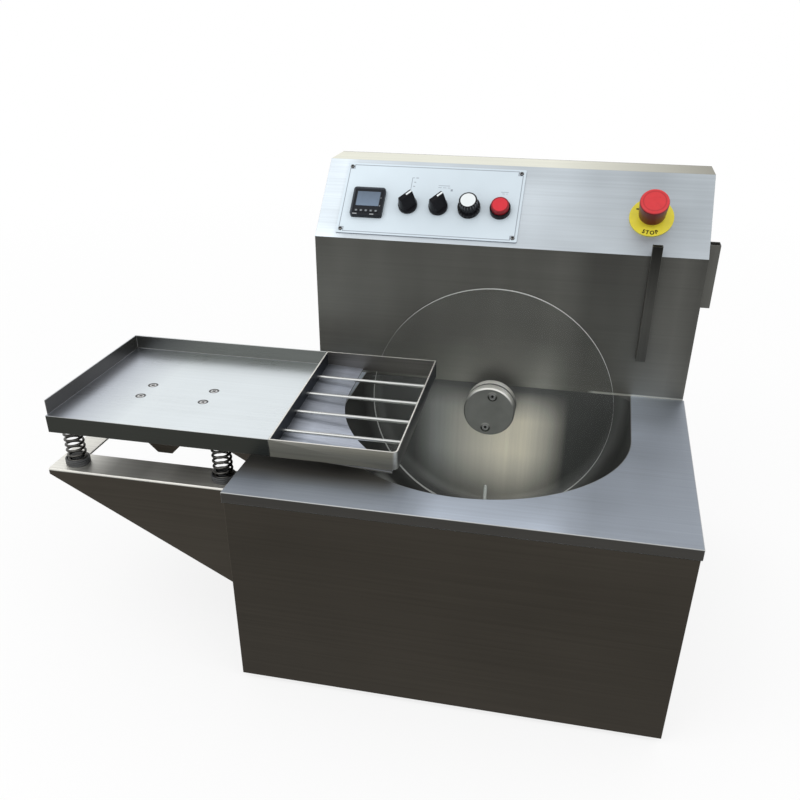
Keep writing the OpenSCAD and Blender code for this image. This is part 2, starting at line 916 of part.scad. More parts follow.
module controller_case() {
    screen_w = screen_w_share * controller_side + 2 * fit_clear;
    screen_h = screen_h_share * controller_side + 2 * fit_clear;
    inner = controller_side - 2 * bezel_corner_r;
    key_gap = 2 * free_clear;
    color("black") place() on_panel(controller_x, control_s) difference() {
        union() {
            translate([0, 0, faceplate_t]) linear_extrude(bezel_h)
                rounded_plate(controller_side, controller_side, bezel_corner_r);
            translate([-case_w / 2, -case_w / 2, faceplate_t - case_depth])
                cube([case_w, case_w, case_depth]);
        }
        translate([-inner / 2, -inner / 2, faceplate_t + bezel_h - case_recess])
            cube([inner, inner, case_recess + overrun]);
        translate([-screen_w / 2, screen_lift_share * controller_side - screen_h / 2,
                   faceplate_t + bezel_h - case_recess - screen_t])
            cube([screen_w, screen_h, screen_t + overrun]);
        for (i = [0 : key_count - 1]) at_key(i)
            translate([-(key_w + key_gap) / 2, -(key_h + key_gap) / 2, -key_sunk - key_travel - free_clear])
                cube([key_w + key_gap, key_h + key_gap, key_sunk + key_travel + free_clear + overrun]);
    }
}

module controller_screen() {
    w = screen_w_share * controller_side;
    h = screen_h_share * controller_side;
    color("slategray") place() on_panel(controller_x, control_s)
        translate([-w / 2, screen_lift_share * controller_side - h / 2,
                   faceplate_t + bezel_h - case_recess - screen_t])
            cube([w, h, screen_t]);
}

module controller_key(i) {
    color("lightgray") place() on_panel(controller_x, control_s) at_key(i)
        translate([-key_w / 2, -key_h / 2, -key_sunk]) cube([key_w, key_h, key_sunk + key_proud]);
}

module controller_key_1() { controller_key(0); }
module controller_key_2() { controller_key(1); }
module controller_key_3() { controller_key(2); }
module controller_key_4() { controller_key(3); }
module controller_key_5() { controller_key(4); }

// A switch or potentiometer behind the panel, with a bush that carries a stem
module bushed_body(body_d, depth, square_body) {
    difference() {
        union() {
            rod(bush_d, -sheet, faceplate_t + bush_out);
            rod(bush_nut_d, faceplate_t, faceplate_t + bush_nut_t);
            if (square_body)
                translate([-body_d / 2, -body_d / 2, -sheet - depth]) cube([body_d, body_d, depth]);
            else
                rod(body_d, -sheet - depth, -sheet);
        }
        rod(stem_d + 2 * run_clear, faceplate_t + bush_out - stem_in - free_clear,
            faceplate_t + bush_out + overrun);
    }
}

module at_control(i) {
    on_panel(knob_x + i * control_pitch, control_s) children();
}

module selector_switches() {
    color("dimgray") place() for (i = [0, 1]) at_control(i)
        bushed_body(switch_side, switch_depth, true);
}

module speed_pot() {
    color("dimgray") place() at_control(2) bushed_body(pot_d, pot_depth, false);
}

// The stem runs in the bush and the knob's hollow base clears the bush and its nut
module knob_stem() {
    rod(stem_d, faceplate_t + bush_out - stem_in, faceplate_t + bush_out + stem_root);
}

module knob_hollow() {
    rod(bush_nut_d + 2 * bush_nut_gap, -overrun, faceplate_t + bush_out + free_clear);
}

// Pointer knob: a round base with a wing across it that narrows to a ridge; the
// wing is a wedge trimmed by a cone, and the ridge points up the slope at zero turn
module selector_knob(i) {
    base_r = selector_d / 2;
    wing = selector_wing_share * base_r;
    ridge = selector_ridge_w / 2;
    low = faceplate_t + knob_lift;
    top = low + selector_wing_h;
    color("black") place() at_control(i) rotate(selector_turn) {
        difference() {
            union() {
                rod(selector_d, low, low + selector_base_h);
                intersection() {
                    translate([0, 0, low])
                        cylinder(r1 = base_r, r2 = selector_ridge_share * base_r, h = selector_wing_h);
                    front_sheet(-base_r, selector_d, [
                        [-wing, low], [-ridge, top], [ridge, top], [wing, low]
                    ]);
                }
            }
            knob_hollow();
        }
        knob_stem();
    }
}

module selector_knob_left() { selector_knob(0); }
module selector_knob_right() { selector_knob(1); }

module speed_knob() {
    low = faceplate_t + knob_lift;
    top = low + speed_grip_h;
    r0 = speed_grip_share * speed_knob_d / 2;
    r1 = speed_top_share * speed_knob_d / 2;
    cap_d = speed_cap_share * speed_knob_d;
    color("black") place() at_control(2) {
        difference() {
            union() {
                rod(speed_knob_d, low, low + speed_skirt_h);
                translate([0, 0, low]) cylinder(r1 = r0, r2 = r1, h = speed_grip_h);
            }
            for (k = [0 : speed_flutes - 1]) rotate(k * 360 / speed_flutes)
                translate([r0 + speed_flute_d / 4, 0]) rod(speed_flute_d, low + speed_skirt_h, top + overrun);
            rod(cap_d + 2 * fit_clear, top - speed_cap_sunk, top + overrun);
            knob_hollow();
        }
        knob_stem();
    }
}

module speed_knob_cap() {
    top = faceplate_t + knob_lift + speed_grip_h;
    cap_d = speed_cap_share * speed_knob_d;
    color("white") place() at_control(2)
        rod(cap_d, top - speed_cap_sunk, top - speed_cap_sunk + speed_cap_t);
}

module button_bezel() {
    floor_z = faceplate_t + button_h - button_recess;
    color("black") place() at_control(3) difference() {
        union() {
            rod(button_bezel_d, faceplate_t, faceplate_t + button_h);
            rod(button_hole_d, -sheet, faceplate_t);
            translate([-contact_side / 2, -contact_side / 2, -sheet - contact_depth])
                cube([contact_side, contact_side, contact_depth]);
        }
        rod(button_d + 2 * free_clear, floor_z, faceplate_t + button_h + overrun);
        rod(button_stem_d + 2 * run_clear, floor_z - button_stem_in, floor_z + overrun);
    }
}

module start_button() {
    low = faceplate_t + button_h - button_recess + button_travel + free_clear;
    top = faceplate_t + button_top;
    r = button_d / 2;
    stem_low = faceplate_t + button_h - button_recess - button_stem_in + button_travel + free_clear;
    color("red") place() at_control(3) {
        translate([0, 0, low]) rotate_extrude() {
            square([r - button_round, top - low]);
            square([r, top - low - button_round]);
            translate([r - button_round, top - low - button_round]) circle(button_round);
        }
        rod(button_stem_d, stem_low, low);
    }
}

// Emergency stop

module estop_plate() {
    color("gold") place() on_panel(estop_x, estop_s)
        ring(estop_plate_d, estop_hole_d + 2 * fit_clear, 0, estop_plate_t);
}

module estop_base() {
    color("goldenrod") place() on_panel(estop_x, estop_s) difference() {
        union() {
            rod(estop_collar_d, estop_plate_t, estop_plate_t + estop_collar_h);
            rod(estop_hole_d, -sheet, estop_plate_t);
            translate([-contact_side / 2, -contact_side / 2, -sheet - contact_depth])
                cube([contact_side, contact_side, contact_depth]);
        }
        rod(estop_stem_d + 2 * run_clear, estop_plate_t - estop_stem_in - estop_cup_h,
            estop_plate_t + estop_collar_h + overrun);
    }
}

module estop_stem() {
    cup_top = estop_head_low + estop_cup_h;
    color("dimgray") place() on_panel(estop_x, estop_s) {
        rod(estop_stem_d, estop_plate_t - estop_stem_in, cup_top - run_clear);
        rod(estop_neck_d, cup_top - run_clear, cup_top + estop_neck_h - free_clear);
    }
}

// The head is a tall cup: slightly waisted side, rounded rim and a dished top
module estop_head() {
    r = estop_head_d / 2;
    waist = estop_waist_share * r;
    height = estop_top - estop_head_low;
    color("red") place() on_panel(estop_x, estop_s) translate([0, 0, estop_head_low]) difference() {
        rotate_extrude() {
            polygon([[0, 0], [waist, 0], [r, height - estop_round],
                     [r - estop_round, height - estop_round], [r - estop_round, height],
                     [0, height - estop_dish]]);
            translate([r - estop_round, height - estop_round]) circle(estop_round);
        }
        rod(estop_cup_d, -overrun, estop_cup_h);
        rod(estop_neck_d + 2 * run_clear, estop_cup_h - overrun, estop_cup_h + estop_neck_h);
    }
}

// Sleeves

module sleeve(w, depth, len) {
    difference() {
        cube([w, depth, len]);
        translate([sleeve_wall, sleeve_wall, sleeve_wall])
            cube([w - 2 * sleeve_wall, depth - 2 * sleeve_wall, len]);
    }
}

module front_sleeve() {
    color("dimgray") place()
        translate([body_w - front_sleeve_inset - front_sleeve_w / 2, deck_depth - front_sleeve_depth,
                   bend_z + front_sleeve_over - front_sleeve_len])
            sleeve(front_sleeve_w, front_sleeve_depth, front_sleeve_len);
}

module side_sleeve() {
    color("gray") place()
        translate([body_w, deck_depth + side_sleeve_depth, bend_z + side_sleeve_over - side_sleeve_len])
            sleeve(side_sleeve_w, side_sleeve_depth, side_sleeve_len);
}

// Bracket and springs

module bracket_frame() {
    color("gray") place() {
        difference() {
            block([-bracket_reach, bracket_front, bracket_top - bracket_t], [0, bracket_back, bracket_top]);
            block([-bracket_reach + bracket_end_rail, bracket_front + bracket_rail,
                   bracket_top - bracket_t - overrun],
                  [-bracket_side_rail, bracket_back - bracket_rail, bracket_top + overrun]);
        }
        block([-bracket_t, bracket_front + bracket_t, bracket_top - bracket_flange_h],
              [0, bracket_back - bracket_t, bracket_top - bracket_t]);
    }
}

module bracket_gussets() {
    top = bracket_top - bracket_t;
    outline = [[-bracket_reach, top], [0, top], [0, top - gusset_h], [-bracket_reach, top - gusset_tip_h]];
    color("gray") place() {
        front_sheet(bracket_front, bracket_t, outline);
        front_sheet(bracket_back - bracket_t, bracket_t, outline);
    }
}

module at_springs(z) {
    for (x = [spring_x0, spring_x0 + spring_span_x], y = [spring_y0, spring_y1])
        translate([x, y, z]) children();
}

// Ribbed rubber cup with a boss that centres the spring
module spring_seat() {
    bead_at = seat_d / 2 - seat_bead_r;
    rotate_extrude() {
        square([bead_at, seat_floor]);
        translate([bead_at - seat_rim, 0]) square([seat_rim, seat_rim_h]);
        square([seat_boss_d / 2, seat_boss_h]);
        for (z = [seat_bead_r : 2 * seat_bead_r : seat_rim_h])
            translate([bead_at, z]) circle(seat_bead_r);
    }
}

module lower_spring_seats() {
    color("black") place() at_springs(bracket_top) spring_seat();
}

module upper_spring_seats() {
    color("black") place() at_springs(tray_under) mirror([0, 0, 1]) spring_seat();
}

// Spring wire as rings of [turn angle, height, slope]: a straight end square to
// its seat, a bend into the close end turn, and the working turns; the upper
// half repeats the lower half turned over
all_turns = spring_turns + 2 * dead_turns;
wire_round = 2 * PI * coil_r;
dead_slope = atan2(dead_pitch, wire_round);
bend_turn = (bend_r * (1 - cos(90 - dead_slope))) / wire_round * 360;
bend_rise = wire_d + bend_r * sin(90 - dead_slope);
work_pitch = (spring_len - 2 * (bend_rise + dead_turns * dead_pitch)) / spring_turns;
half_rings = all_turns * rings_per_turn / 2;
full_turn = 2 * bend_turn + all_turns * 360;

function turn_rise(n) = n < dead_turns ? n * dead_pitch
    : dead_turns * dead_pitch + (n - dead_turns) * work_pitch;
function turn_slope(n) = atan2(n < dead_turns ? dead_pitch : work_pitch, wire_round);

lower_rings = concat(
    [[0, 0, 90], [0, wire_d, 90]],
    [for (k = [1 : bend_steps]) let (b = k * (90 - dead_slope) / bend_steps)
        [bend_r * (1 - cos(b)) / wire_round * 360, wire_d + bend_r * sin(b), 90 - b]],
    [for (i = [1 : half_rings]) let (n = i / rings_per_turn)
        [bend_turn + n * 360, bend_rise + turn_rise(n), turn_slope(n)]]
);
spring_rings = concat(
    lower_rings,
    [for (i = [len(lower_rings) - 2 : -1 : 0]) let (g = lower_rings[i])
        [full_turn - g[0], spring_len - g[1], g[2]]]
);

function ring_centre(g) = [coil_r * cos(g[0]), coil_r * sin(g[0]), g[1]];
function ring_point(g, j) = let (
    out = [cos(g[0]), sin(g[0]), 0],
    ahead = [-sin(g[0]) * cos(g[2]), cos(g[0]) * cos(g[2]), sin(g[2])],
    a = j * 360 / ring_sides
) ring_centre(g) + wire_d / 2 * (cos(a) * out + sin(a) * cross(ahead, out));

spring_gap = min([for (g = spring_rings, h = spring_rings) if (h[0] - g[0] >= 180)
    norm(ring_centre(h) - ring_centre(g)) - wire_d]);
echo(spring_working_pitch = work_pitch, spring_least_gap = spring_gap);

module spring() {
    count = len(spring_rings);
    points = [for (g = spring_rings, j = [0 : ring_sides - 1]) ring_point(g, j)];
    sides = [for (i = [0 : count - 2], j = [0 : ring_sides - 1], half = [0, 1]) let (
        k = (j + 1) % ring_sides,
        a = i * ring_sides + j, b = i * ring_sides + k,
        c = a + ring_sides, d = b + ring_sides
    ) half == 0 ? [a, b, d] : [a, d, c]];
    last = (count - 1) * ring_sides;
    ends = [for (j = [1 : ring_sides - 2], top = [0, 1])
        top == 0 ? [0, j + 1, j] : [last, last + j, last + j + 1]];
    polyhedron(points, concat(sides, ends));
}

module table_springs() {
    color("silver") place() at_springs(spring_z0) spring();
}

// Table

module at_vibrator_screws() {
    for (sx = [-1, 1], sy = [-1, 1])
        translate([vibrator_x + sx * vibrator_screw_x / 2, vibrator_y + sy * vibrator_screw_y / 2, tray_top])
            children();
}

module screw_sink(clear) {
    translate([0, 0, -screw_head_h]) cylinder(
        d1 = vibrator_screw_d + 2 * clear, d2 = screw_head_d + 2 * clear, h = screw_head_h);
}

module tray() {
    color("gainsboro") place() difference() {
        union() {
            block([tray_x0, tray_front, tray_under], [tray_x1, tray_back, tray_top]);
            block([tray_x0, tray_front + wall_setback, tray_under],
                  [tray_x0 + sheet, tray_back, tray_top + tray_wall_h]);
            block([tray_x0, tray_back - sheet, tray_under], [tray_x1, tray_back, tray_top + tray_wall_h]);
            block([tray_x0, tray_front, tray_top - tray_skirt_h], [tray_x1, tray_front + sheet, tray_top]);
        }
        at_vibrator_screws() {
            screw_sink(fit_clear);
            rod(vibrator_screw_d + 2 * fit_clear, -sheet - overrun, overrun);
        }
    }
}

module tray_screws() {
    color("silver") place() at_vibrator_screws() {
        screw_sink(0);
        rod(vibrator_screw_d, -screw_len, -screw_head_h);
    }
}

// Grate frame: local x to the right, y back along the slope, z up; its top is z = 0
module at_grate() {
    translate([tray_x1, tray_front, tray_top]) rotate([grate_tilt, 0, 0]) children();
}

module grate_outline(shrink) {
    w = grate_w - 2 * shrink;
    d = grate_run - 2 * shrink;
    corner = grate_corner_r - shrink;
    translate([shrink, shrink]) {
        square([w - corner, d]);
        translate([0, corner]) square([w, d - corner]);
        translate([w - corner, corner]) circle(corner);
    }
}

// Drip plate under the rods: it falls to the right and ends over the tank, in line with its edge
module drip_plate() {
    edge_r = tank_r - drip_overhang;
    top = tray_top + grate_lift;
    difference() {
        at_grate() translate([lip_x, 0, drip_up - grate_h]) rotate([0, drip_slope, 0])
            block([grate_wall / 2 - lip_x, grate_wall / 2, 0],
                  [lip_end - lip_x, grate_run - grate_wall / 2, sheet]);
        translate([axis_x, round_y, 0]) rod(2 * edge_r, deck_h, top);
        block([axis_x - edge_r, round_y, deck_h], [axis_x + edge_r, tray_back + overrun, top]);
    }
}

module grate_frame() {
    color("gray") place() {
        at_grate() {
            translate([0, 0, -grate_h]) linear_extrude(grate_h) difference() {
                grate_outline(0);
                grate_outline(grate_wall);
            }
            front_sheet(grate_wall, grate_wall, [
                [lip_x, -grate_h + lip_up], [lip_end, -grate_h + lip_up],
                [lip_end, -grate_h - lip_drop], [lip_x, -grate_h]
            ]);
        }
        drip_plate();
    }
}

module grate_rods() {
    color("white") place() at_grate() for (i = [0 : rod_count - 1])
        translate([grate_wall, rod_front + i * rod_pitch, -rod_drop_share * grate_h])
            rotate([0, 90, 0]) rod(rod_d, 0, grate_w - 2 * grate_wall);
}

// Vibrator under the tray, with its axis front to back

module along_vibrator(y) {
    translate([vibrator_x, y, vibrator_z]) rotate([-90, 0, 0]) children();
}

module vibrator_motor() {
    foot_x = vibrator_screw_x / 2 + vibrator_foot_edge;
    foot_y = vibrator_screw_y / 2 + vibrator_foot_edge;
    web_x = vibrator_web_share * vibrator_d / 2;
    color("dimgray") place() difference() {
        union() {
            along_vibrator(vibrator_y) rod(vibrator_d, -vibrator_len / 2, vibrator_len / 2);
            block([vibrator_x - foot_x, vibrator_y - foot_y, tray_under - vibrator_foot_t],
                  [vibrator_x + foot_x, vibrator_y + foot_y, tray_under]);
            block([vibrator_x - web_x, vibrator_y - foot_y, vibrator_z],
                  [vibrator_x + web_x, vibrator_y + foot_y, tray_under]);
        }
        along_vibrator(vibrator_y) rod(vibrator_shaft_d + 2 * run_clear,
                                       -vibrator_len / 2 - overrun, vibrator_len / 2 + overrun);
        at_vibrator_screws() {
            screw_sink(fit_clear);
            rod(vibrator_screw_d + 2 * fit_clear, -screw_len - overrun, overrun);
        }
    }
}

module vibrator_end_caps() {
    bore = vibrator_d - 2 * vibrator_cap_wall;
    color("dimgray") place() along_vibrator(vibrator_y) for (side = [0, 1])
        mirror([0, 0, side]) translate([0, 0, vibrator_len / 2]) difference() {
            rod(vibrator_d, 0, vibrator_cap_len);
            rod(bore, -overrun, vibrator_cap_len - vibrator_cap_wall);
        }
}

// Shaft with a half-disc weight in each end cap
module vibrator_rotor() {
    weight_r = vibrator_d / 2 - vibrator_cap_wall - weight_clear;
    start = vibrator_len / 2 + weight_gap;
    color("silver") place() along_vibrator(vibrator_y) {
        rod(vibrator_shaft_d, -start - weight_t, start + weight_t);
        for (side = [0, 1]) mirror([0, 0, side]) translate([0, 0, start]) intersection() {
            rod(2 * weight_r, 0, weight_t);
            translate([-weight_r, 0, 0]) cube([2 * weight_r, weight_r, weight_t]);
        }
    }
}

function guard_outline(bottom_half, top_half, bottom) = [
    [vibrator_x - top_half, tray_under], [vibrator_x + top_half, tray_under],
    [vibrator_x + bottom_half, bottom], [vibrator_x - bottom_half, bottom]
];

module vibrator_guard() {
    run = (guard_top_w - guard_bottom_w) / 2;
    wall_x = guard_wall * norm([run, guard_drop]) / guard_drop;
    rise_x = run * guard_wall / guard_drop;
    bottom = tray_under - guard_drop;
    y0 = vibrator_y - guard_len / 2;
    color("dimgray") place() difference() {
        front_sheet(y0, guard_len, guard_outline(guard_bottom_w / 2, guard_top_w / 2, bottom));
        front_sheet(y0 + guard_wall, guard_len - 2 * guard_wall,
            guard_outline(guard_bottom_w / 2 + rise_x - wall_x, guard_top_w / 2 - wall_x,
                          bottom + guard_wall));
    }
}

base_plate();
feet();
front_panel();
side_panel_left();
side_panel_right();
deck_plate();
column_front();
rear_cover();
cover_screws();
cable_gland();
tank();
heater_mat();
temperature_probe();
shaft_seal();
bearing_housing();
gearbox_stand();
gearbox();
drive_motor();
speed_drive();
wheel_disc();
hub_cap();
hub_flange();
hub_screws();
drive_shaft();
faceplate();
faceplate_screws();
controller_case();
controller_screen();
controller_key_1();
controller_key_2();
controller_key_3();
controller_key_4();
controller_key_5();
selector_switches();
selector_knob_left();
selector_knob_right();
speed_pot();
speed_knob();
speed_knob_cap();
button_bezel();
start_button();
estop_plate();
estop_base();
estop_stem();
estop_head();
front_sleeve();
side_sleeve();
bracket_frame();
bracket_gussets();
lower_spring_seats();
table_springs();
tray();
upper_spring_seats();
tray_screws();
grate_frame();
grate_rods();
vibrator_motor();
vibrator_end_caps();
vibrator_rotor();
vibrator_guard();
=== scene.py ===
"""Looks of a table-top chocolate melting and moulding machine, built round its CAD frame."""

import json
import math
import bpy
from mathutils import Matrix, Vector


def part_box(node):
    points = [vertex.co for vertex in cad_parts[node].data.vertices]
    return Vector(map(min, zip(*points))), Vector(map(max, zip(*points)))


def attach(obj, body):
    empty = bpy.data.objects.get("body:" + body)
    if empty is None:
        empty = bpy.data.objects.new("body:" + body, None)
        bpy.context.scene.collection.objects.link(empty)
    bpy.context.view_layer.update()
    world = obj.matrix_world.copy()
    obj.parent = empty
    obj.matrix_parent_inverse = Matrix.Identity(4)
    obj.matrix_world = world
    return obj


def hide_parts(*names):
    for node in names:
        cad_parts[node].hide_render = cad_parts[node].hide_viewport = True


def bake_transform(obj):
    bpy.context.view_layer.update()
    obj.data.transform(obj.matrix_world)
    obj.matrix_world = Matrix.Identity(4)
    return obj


bl_info = {
    "name": "Chocolate melter",
    "version": (1, 0, 0),
    "blender": (4, 5, 0),
    "location": "View3D > Sidebar > Melter",
    "description": "Dresses a chocolate melting machine with a wheel and a vibrating table",
    "category": "Object",
}

import bmesh
import bpy
from mathutils import Matrix, Vector

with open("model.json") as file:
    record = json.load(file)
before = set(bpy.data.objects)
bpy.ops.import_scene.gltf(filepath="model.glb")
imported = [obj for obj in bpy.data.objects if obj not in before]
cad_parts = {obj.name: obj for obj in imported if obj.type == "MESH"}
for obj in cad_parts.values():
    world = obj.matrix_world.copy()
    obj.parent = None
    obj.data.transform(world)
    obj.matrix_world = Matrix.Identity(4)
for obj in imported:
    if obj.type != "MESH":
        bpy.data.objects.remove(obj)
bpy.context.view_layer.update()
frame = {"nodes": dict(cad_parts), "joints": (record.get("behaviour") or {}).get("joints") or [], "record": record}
RECORD = frame["record"]
BODY_OF = {node: body for body, nodes in RECORD["behaviour"]["bodies"].items() for node in nodes}
SLOT_OF = {part["node"]: part["material_slot"] for part in RECORD["subparts"]}
JOINT = {joint["name"]: joint for joint in frame["joints"]}
MM = 0.001

# The cabinet's front left bottom corner, from which the machine's sizes are measured
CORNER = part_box("front_panel")[0]
# The machine's axes, then the sloped panel's: out of it and up the slope
ACROSS, BACK, UP = Vector((1, 0, 0)), Vector((0, 1, 0)), Vector((0, 0, 1))
OUT = Vector(JOINT["speed_turn"]["axis"]).normalized()
UPHILL = OUT.cross(ACROSS)
AXLE = Vector(JOINT["wheel_spin"]["pos_m"])
# A point on the tray's plate
MOULD_REST = Vector(next(mount["pos_m"] for mount in RECORD["mounts"] if mount["name"] == "mould_rest"))
# Rings of the hub in a millimetre, ribs round the speed knob, and the seats' ribs in radians a millimetre
RINGS, KNOB_RIBS, SEAT_RIBS = 3.0, 20.0, 2.6
# Grain of brushed sheet in millimetres: across, from front to back and upright
GRAIN, SIDE_GRAIN, UPRIGHT_GRAIN = (80, 0.8, 0.8), (0.8, 80, 0.8), (0.8, 0.8, 80)
# Angles in degrees: a fold from here on is an edge, likewise on a screw head, a curve bends more than this
# and a flat face less than this
EDGE_ANGLE, HEAD_ANGLE, CURVE_ANGLE, FLAT_ANGLE = 32.0, 30.0, 0.5, 0.3
# Millimetres: points nearer than this are one, and a triangle lower than this is a sliver
MERGE, SLIVER = 0.002, 0.02
# Plain printed strokes round the controls: left, low, right and high in millimetres from the control
MARKS = {
    "selector_left_turn": ((-0.6, 28, 0.3, 48.5), (-0.6, 47.6, 3, 48.5), (5, 47.4, 9, 48.6), (3, 40, 6, 41.2),
                           (2.5, 33, 5.5, 34.2)),
    "selector_right_turn": ((14, 28, 17, 31.5), (-5, 36.4, 12, 37.2), (-5, 33, 0, 33.8), (2, 33, 7, 33.8),
                            (9, 33, 13, 33.8)),
    "button_bezel": ((-3, 30.4, 8, 31.2), (-1, 27.6, 3, 28.4), (5, 27.6, 7, 28.4)),
}
# Light marks on the controller's case, from corner to corner in millimetres from its middle: two painted
# highlights on its lower lip, then two marks beside the screen
CASE_MARKS = (((-19.5, -22.6), (-13.0, -21.2)), ((6.5, -22.6), (12.5, -21.2)), ((18.2, 6.0), (20.4, 7.2)),
              ((18.2, -7.4), (20.4, -6.2)))
# The stop plate's mark, likewise
PLATE_MARK = (-21.8, 10.2), (-18.0, 12.6)


def hub_of(name):
    """The place of a joint, or the middle of a CAD node's box."""
    return Vector(JOINT[name]["pos_m"]) if name in JOINT else centre(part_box(name))


def half_width(node):
    """Half of a CAD node's width in millimetres."""
    low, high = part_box(node)
    return (high.x - low.x) / 2 / MM


def centre(points):
    return sum(points, Vector()) / len(points)


def reach(points, start, way):
    """How far points go from a start in a direction."""
    return max((point - start).dot(way) for point in points)


def colour(label, default):
    return bpy.props.FloatVectorProperty(
        name=label, description=f"Colour of the {label.lower()}", subtype="COLOR", size=3, min=0, max=1,
        default=default
    )


def number(label, note, default, **settings):
    return bpy.props.FloatProperty(name=label, description=note, default=default, **settings)


def length(label, note, millimetres):
    return number(label, note, millimetres * MM, unit="LENGTH", min=0)


def rotation(label, note, degrees):
    return number(label, note, math.radians(degrees), subtype="ANGLE")


class MelterSheet(bpy.types.PropertyGroup):
    """Tones of the stainless sheet, by the way a face looks. Many are painted reflections, light and shade rather
    than the steel's own colour.
    """

    dark: colour("Cabinet's sheets", (0.048, 0.0425, 0.0346))
    face: colour("Column's face", (0.092, 0.092, 0.084))
    slope: colour("Column's slope", (0.55, 0.60, 0.64))
    top: colour("Column's top", (0.80, 0.80, 0.70))
    deck: colour("Deck", (0.49, 0.54, 0.615))
    rim: colour("Deck's turned-down edge", (0.053, 0.051, 0.047))
    shadow: colour("Deck under the grate", (0.21, 0.195, 0.165))
    tray: colour("Tray", (0.74, 0.795, 0.82))
    skirt: colour("Tray's front edge", (0.039, 0.041, 0.0365))
    wall: colour("Tray's side wall", (0.16, 0.155, 0.145))
    rail: colour("Bracket", (0.85, 0.84, 0.79))
    drip: colour("Drip plate", (0.70, 0.75, 0.86))
    tank: colour("Tank", (0.36, 0.37, 0.36))
    # The tank's streak is a painted highlight
    glow: colour("Tank's painted highlight streak", (0.98, 0.93, 0.81))
    # Also the painted highlight on rounded edges
    bright: colour("Rods, probe and painted edge highlights", (0.50, 0.51, 0.50))


class MelterPanel(bpy.types.PropertyGroup):
    """Colours of the controls."""

    plate: colour("Faceplate", (0.60, 0.685, 0.745))
    ink: colour("Printed lines", (0.16, 0.18, 0.22))
    black: colour("Knobs and bezels", (0.010, 0.010, 0.012))
    screen: colour("Controller's window", (0.12, 0.165, 0.23))
    cap: colour("Speed knob's cap", (0.76, 0.80, 0.81))
    red: colour("Stop head", (0.50, 0.03, 0.036))
    button: colour("Start button", (0.62, 0.03, 0.045))
    yellow: colour("Stop button's plate", (0.74, 0.64, 0.06))


class MelterSmall(bpy.types.PropertyGroup):
    """Sizes of the springs, the pointers and the letters."""

    wire: length("Spring wire", "Diameter of the springs' wire", 3.5)
    coil: length("Spring coil", "Diameter of the springs to the middle of the wire", 23.5)
    turns: number("Turns", "Turns of each spring", 9.5, min=2)
    closed: number("Closed turns", "Close turns at each end of a spring", 1.0, min=0)
    pointer_long: length("Pointer length", "Length of the white line on a selector knob", 9.5)
    pointer_wide: length("Pointer width", "Width of the white line on a selector knob", 2.6)
    letter: length("Letter height", "Height of the lettering on the stop plate", 8.4)


class MelterCamera(bpy.types.PropertyGroup):
    """Place and lens of the camera."""

    right: length("Right", "Distance right of the cabinet's left face", 404.98)
    ahead: length("Ahead", "Distance in front of the cabinet", 841.61)
    height: length("Height", "Height above the cabinet's base", 812.30)
    yaw: rotation("Yaw", "Turn to the left", 12.448)
    pitch: rotation("Pitch", "Tilt down", 31.177)
    roll: rotation("Roll", "Roll about the view", 0.271)
    sensor: number("Sensor", "Width of the sensor in millimetres", 36.0)
    focal: number("Focal length", "Lens in millimetres", 39.01)
    shift_x: number("Shift X", "Sideways lens shift", 0.0015)
    shift_y: number("Shift Y", "Upward lens shift", 0.1384)


class Value:
    """A node's output that takes part in sums: an expression adds Math nodes."""

    def __init__(self, graph, socket):
        self.graph = graph
        self.socket = socket

    def pick(self, name):
        """Another output of the same node."""
        return Value(self.graph, self.socket.node.outputs[name])

    def maths(self, operation, *others):
        return self.graph.node("ShaderNodeMath", {"operation": operation}, (self, *others))

    def __add__(self, other):
        return self.maths("ADD", other)

    def __sub__(self, other):
        return self.maths("SUBTRACT", other)

    def __rsub__(self, other):
        return self.graph.node("ShaderNodeMath", {"operation": "SUBTRACT"}, (other, self))

    def __mul__(self, other):
        return self.maths("MULTIPLY", other)

    def __truediv__(self, other):
        return self.maths("DIVIDE", other)

    def __abs__(self):
        return self.maths("ABSOLUTE")

    def largest(self, other):
        return self.maths("MAXIMUM", other)

    def least(self, other):
        return self.maths("MINIMUM", other)

    __radd__ = __add__
    __rmul__ = __mul__


class Graph:
    """A node tree that grows by calls of node()."""

    def __init__(self, tree):
        self.tree = tree

    def node(self, kind, settings=None, values=(), named=None, out=0):
        made = self.tree.nodes.new(kind)
        for key, value in (settings or {}).items():
            setattr(made, key, value)
        for socket, value in zip(made.inputs, values):
            self.feed(socket, value)
        for key, value in (named or {}).items():
            self.feed(made.inputs[key], value)
        return Value(self, made.outputs[out]) if made.outputs else None

    def feed(self, socket, value):
        if isinstance(value, Value):
            self.tree.links.new(value.socket, socket)
        elif socket.type == "RGBA" and len(value) == 3:
            socket.default_value = (*value, 1)
        else:
            socket.default_value = value


